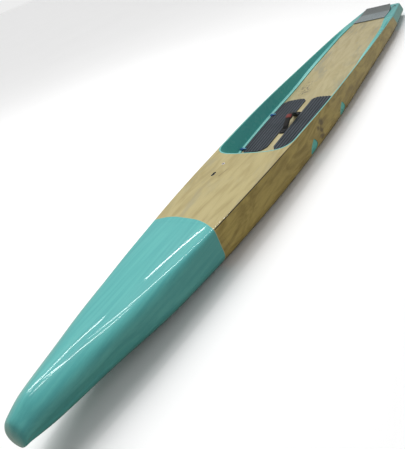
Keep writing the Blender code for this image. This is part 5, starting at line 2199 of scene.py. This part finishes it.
@dataclass
class Studio:
    """Pale floor, soft lights, and the camera of the photograph."""

    spread: float = 90.0  # half size of the floor
    grey: Colour = (1.0, 1.0, 1.0)  # colour of the floor as the camera sees it
    bounce: Colour = (0.34, 0.33, 0.28)  # its colour to all other rays
    camera_place: Triple = (2.361, 1.4144, 1.2461)  # world position of the camera
    # Its right, up and backward axes
    camera_axes: tuple[Triple, Triple, Triple] = ((-0.4891, 0.80295, -0.34066), (-0.60194, -0.02808, 0.79805),
                                                  (0.63123, 0.59538, 0.49706))
    lens: float = 38.9  # focal length in millimetres for a 36 mm long side
    shift: Pair = (-0.0306, -0.0185)  # sideways and upward shift of the picture
    # Name, direction and strength of the broad lights
    glows: tuple[tuple[str, Triple, float], ...] = (("key", (-0.46, -0.46, 0.76), 2.22),
                                                    ("fill", (-0.75, 0.62, 0.2), 0.75))
    glow_angle: float = 50.0  # angle in degrees that each of them fills
    surround: Pair = (0.28, 0.57)  # strength of the surroundings, and what is added to it for the camera
    ceiling: float = 3.0  # height of the tubes
    tube_glow: float = 20.0  # radiance of the tubes
    # Name, ends in plan and width of each tube
    tubes: tuple[tuple[str, Pair, Pair, float], ...] = (
        ("tube_a", (-1.76, -2.18), (-0.75, -2.72), 0.11), ("tube_b", (-0.85, -1.35), (0.5, -2.1), 0.13),
        ("tube_c", (-0.2, -3.15), (2.1, -4.35), 0.12), ("tube_d", (0.28, -1.17), (1.9, -1.37), 0.11),
        ("tube_e", (-1.12, 0.4), (-0.85, -1.35), 0.09), ("tube_f", (1.1, -1.27), (1.37, -3.54), 0.09))

    def placed(self, data: bpy.types.ID, place: Vector, axes: Sequence[Vector]) -> Piece:
        """New object at a place, linked into the scene.

        Args:
            data: Its camera or light.
            place: World position.
            axes: World directions of its three axes.

        Returns:
            The object.
        """
        thing = bpy.data.objects.new(data.name, data)
        thing.matrix_world = Matrix.Translation(place) @ Matrix(axes).transposed().to_4x4()
        bpy.context.scene.collection.objects.link(thing)
        return thing

    def camera(self) -> Piece:
        """Camera at the photograph's viewing angle.

        Returns:
            The camera.
        """
        data = bpy.data.cameras.new("camera")
        data.sensor_width, data.lens, data.clip_end = 36.0, self.lens, 400.0
        data.shift_x, data.shift_y = self.shift
        bpy.context.scene.camera = self.placed(data, Vector(self.camera_place), self.camera_axes)
        return bpy.context.scene.camera

    def glow(self, name: str, way: Triple, power: float) -> Piece:
        """Broad even light that the coat doesn't mirror.

        Args:
            name: Its name.
            way: Direction that it comes from.
            power: Its strength.

        Returns:
            The light.
        """
        data = bpy.data.lights.new(name, "SUN")
        data.energy, data.angle = power, math.radians(self.glow_angle)
        axes = Vector(way).to_track_quat("Z", "Y").to_matrix().transposed()
        lamp = self.placed(data, Vector(), axes)
        lamp.visible_glossy = False
        return lamp

    def tube(self, name: str, start: Pair, end: Pair, width: float) -> Piece:
        """Long thin ceiling light, which the coat mirrors as a streak.

        Args:
            name: Its name.
            start: World x and y of one end.
            end: Those of the other.
            width: Its width.

        Returns:
            The light.
        """
        first, last = Vector((*start, self.ceiling)), Vector((*end, self.ceiling))
        along, up = (last - first).normalized(), Vector((0.0, 0.0, 1.0))
        data = bpy.data.lights.new(name, "AREA")
        data.shape, data.size, data.size_y = "RECTANGLE", width, (last - first).length
        data.energy = self.tube_glow * math.pi * data.size * data.size_y
        lamp = self.placed(data, (first + last) / 2, (along.cross(up), along, up))
        lamp.visible_camera = False
        return lamp

    def floor(self) -> Piece:
        """Large pale floor with faint unevenness in its tone, which throws little light back up.

        Returns:
            The floor.
        """
        points = np.array([(-1, -1, 0), (1, -1, 0), (1, 1, 0), (-1, 1, 0)]) * self.spread
        mesh = make_mesh(points, [[0, 1, 2, 3]])
        mesh.name = "studio_floor"
        made = bpy.data.materials.new("pale_floor")
        made.use_nodes = True
        pen = Pen(made.node_tree)
        seen = pen.mix(pen.noise(pen.place(), 0.8, 2.0), self.grey, tuple(0.97 * value for value in self.grey))
        pen.feed(made.node_tree.nodes["Principled BSDF"],
                 {"Base Color": pen.mix(pen.camera_ray(), self.bounce, seen), "Roughness": 0.7})
        mesh.materials.append(made)
        floor = linked(mesh)
        return floor

    def world(self) -> None:
        """Even white surroundings, which the camera sees as pale as the floor."""
        world = bpy.data.worlds.new("studio")
        world.use_nodes = True
        pen = Pen(world.node_tree)
        pen.feed(world.node_tree.nodes["Background"],
                 {"Color": (1.0, 1.0, 1.0), "Strength": pen.line(pen.camera_ray(), self.surround[1], self.surround[0])})
        bpy.context.scene.world = world
        bpy.context.scene.view_settings.view_transform = "Standard"

    def build(self) -> None:
        """Make the floor, the lights and the camera."""
        self.camera()
        self.floor()
        self.world()
        for glow in self.glows:
            self.glow(*glow)
        for tube in self.tubes:
            self.tube(*tube)


def main() -> None:
    """Build the looks of the board piece by piece."""
    logging.basicConfig(level=logging.INFO, format="%(message)s")
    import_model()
    hull = Hull()
    drains, fittings, fin_box = Drains(hull), DeckFittings(hull), FinBox(hull)
    hull.nose()
    hull.lower_hull([fin_box.pocket(), *drains.pockets(Side.PORT), *drains.pockets(Side.STARBOARD)])
    hull.foredeck(fittings.fore_pockets())
    hull.tail_deck(fittings.tail_pockets())
    for side in Side:
        hull.rail(side, drains.pockets(side))
    cockpit = Cockpit(hull)
    cockpit.floor()
    cockpit.front_wall()
    for side in Side:
        cockpit.side_wall(side)
    FootPads(hull).build()
    TailPad(hull).build()
    CarryHandle(hull).build()
    drains.build()
    fittings.build()
    fin_box.build()
    Studio().build()


if __name__ == "__main__":
    main()
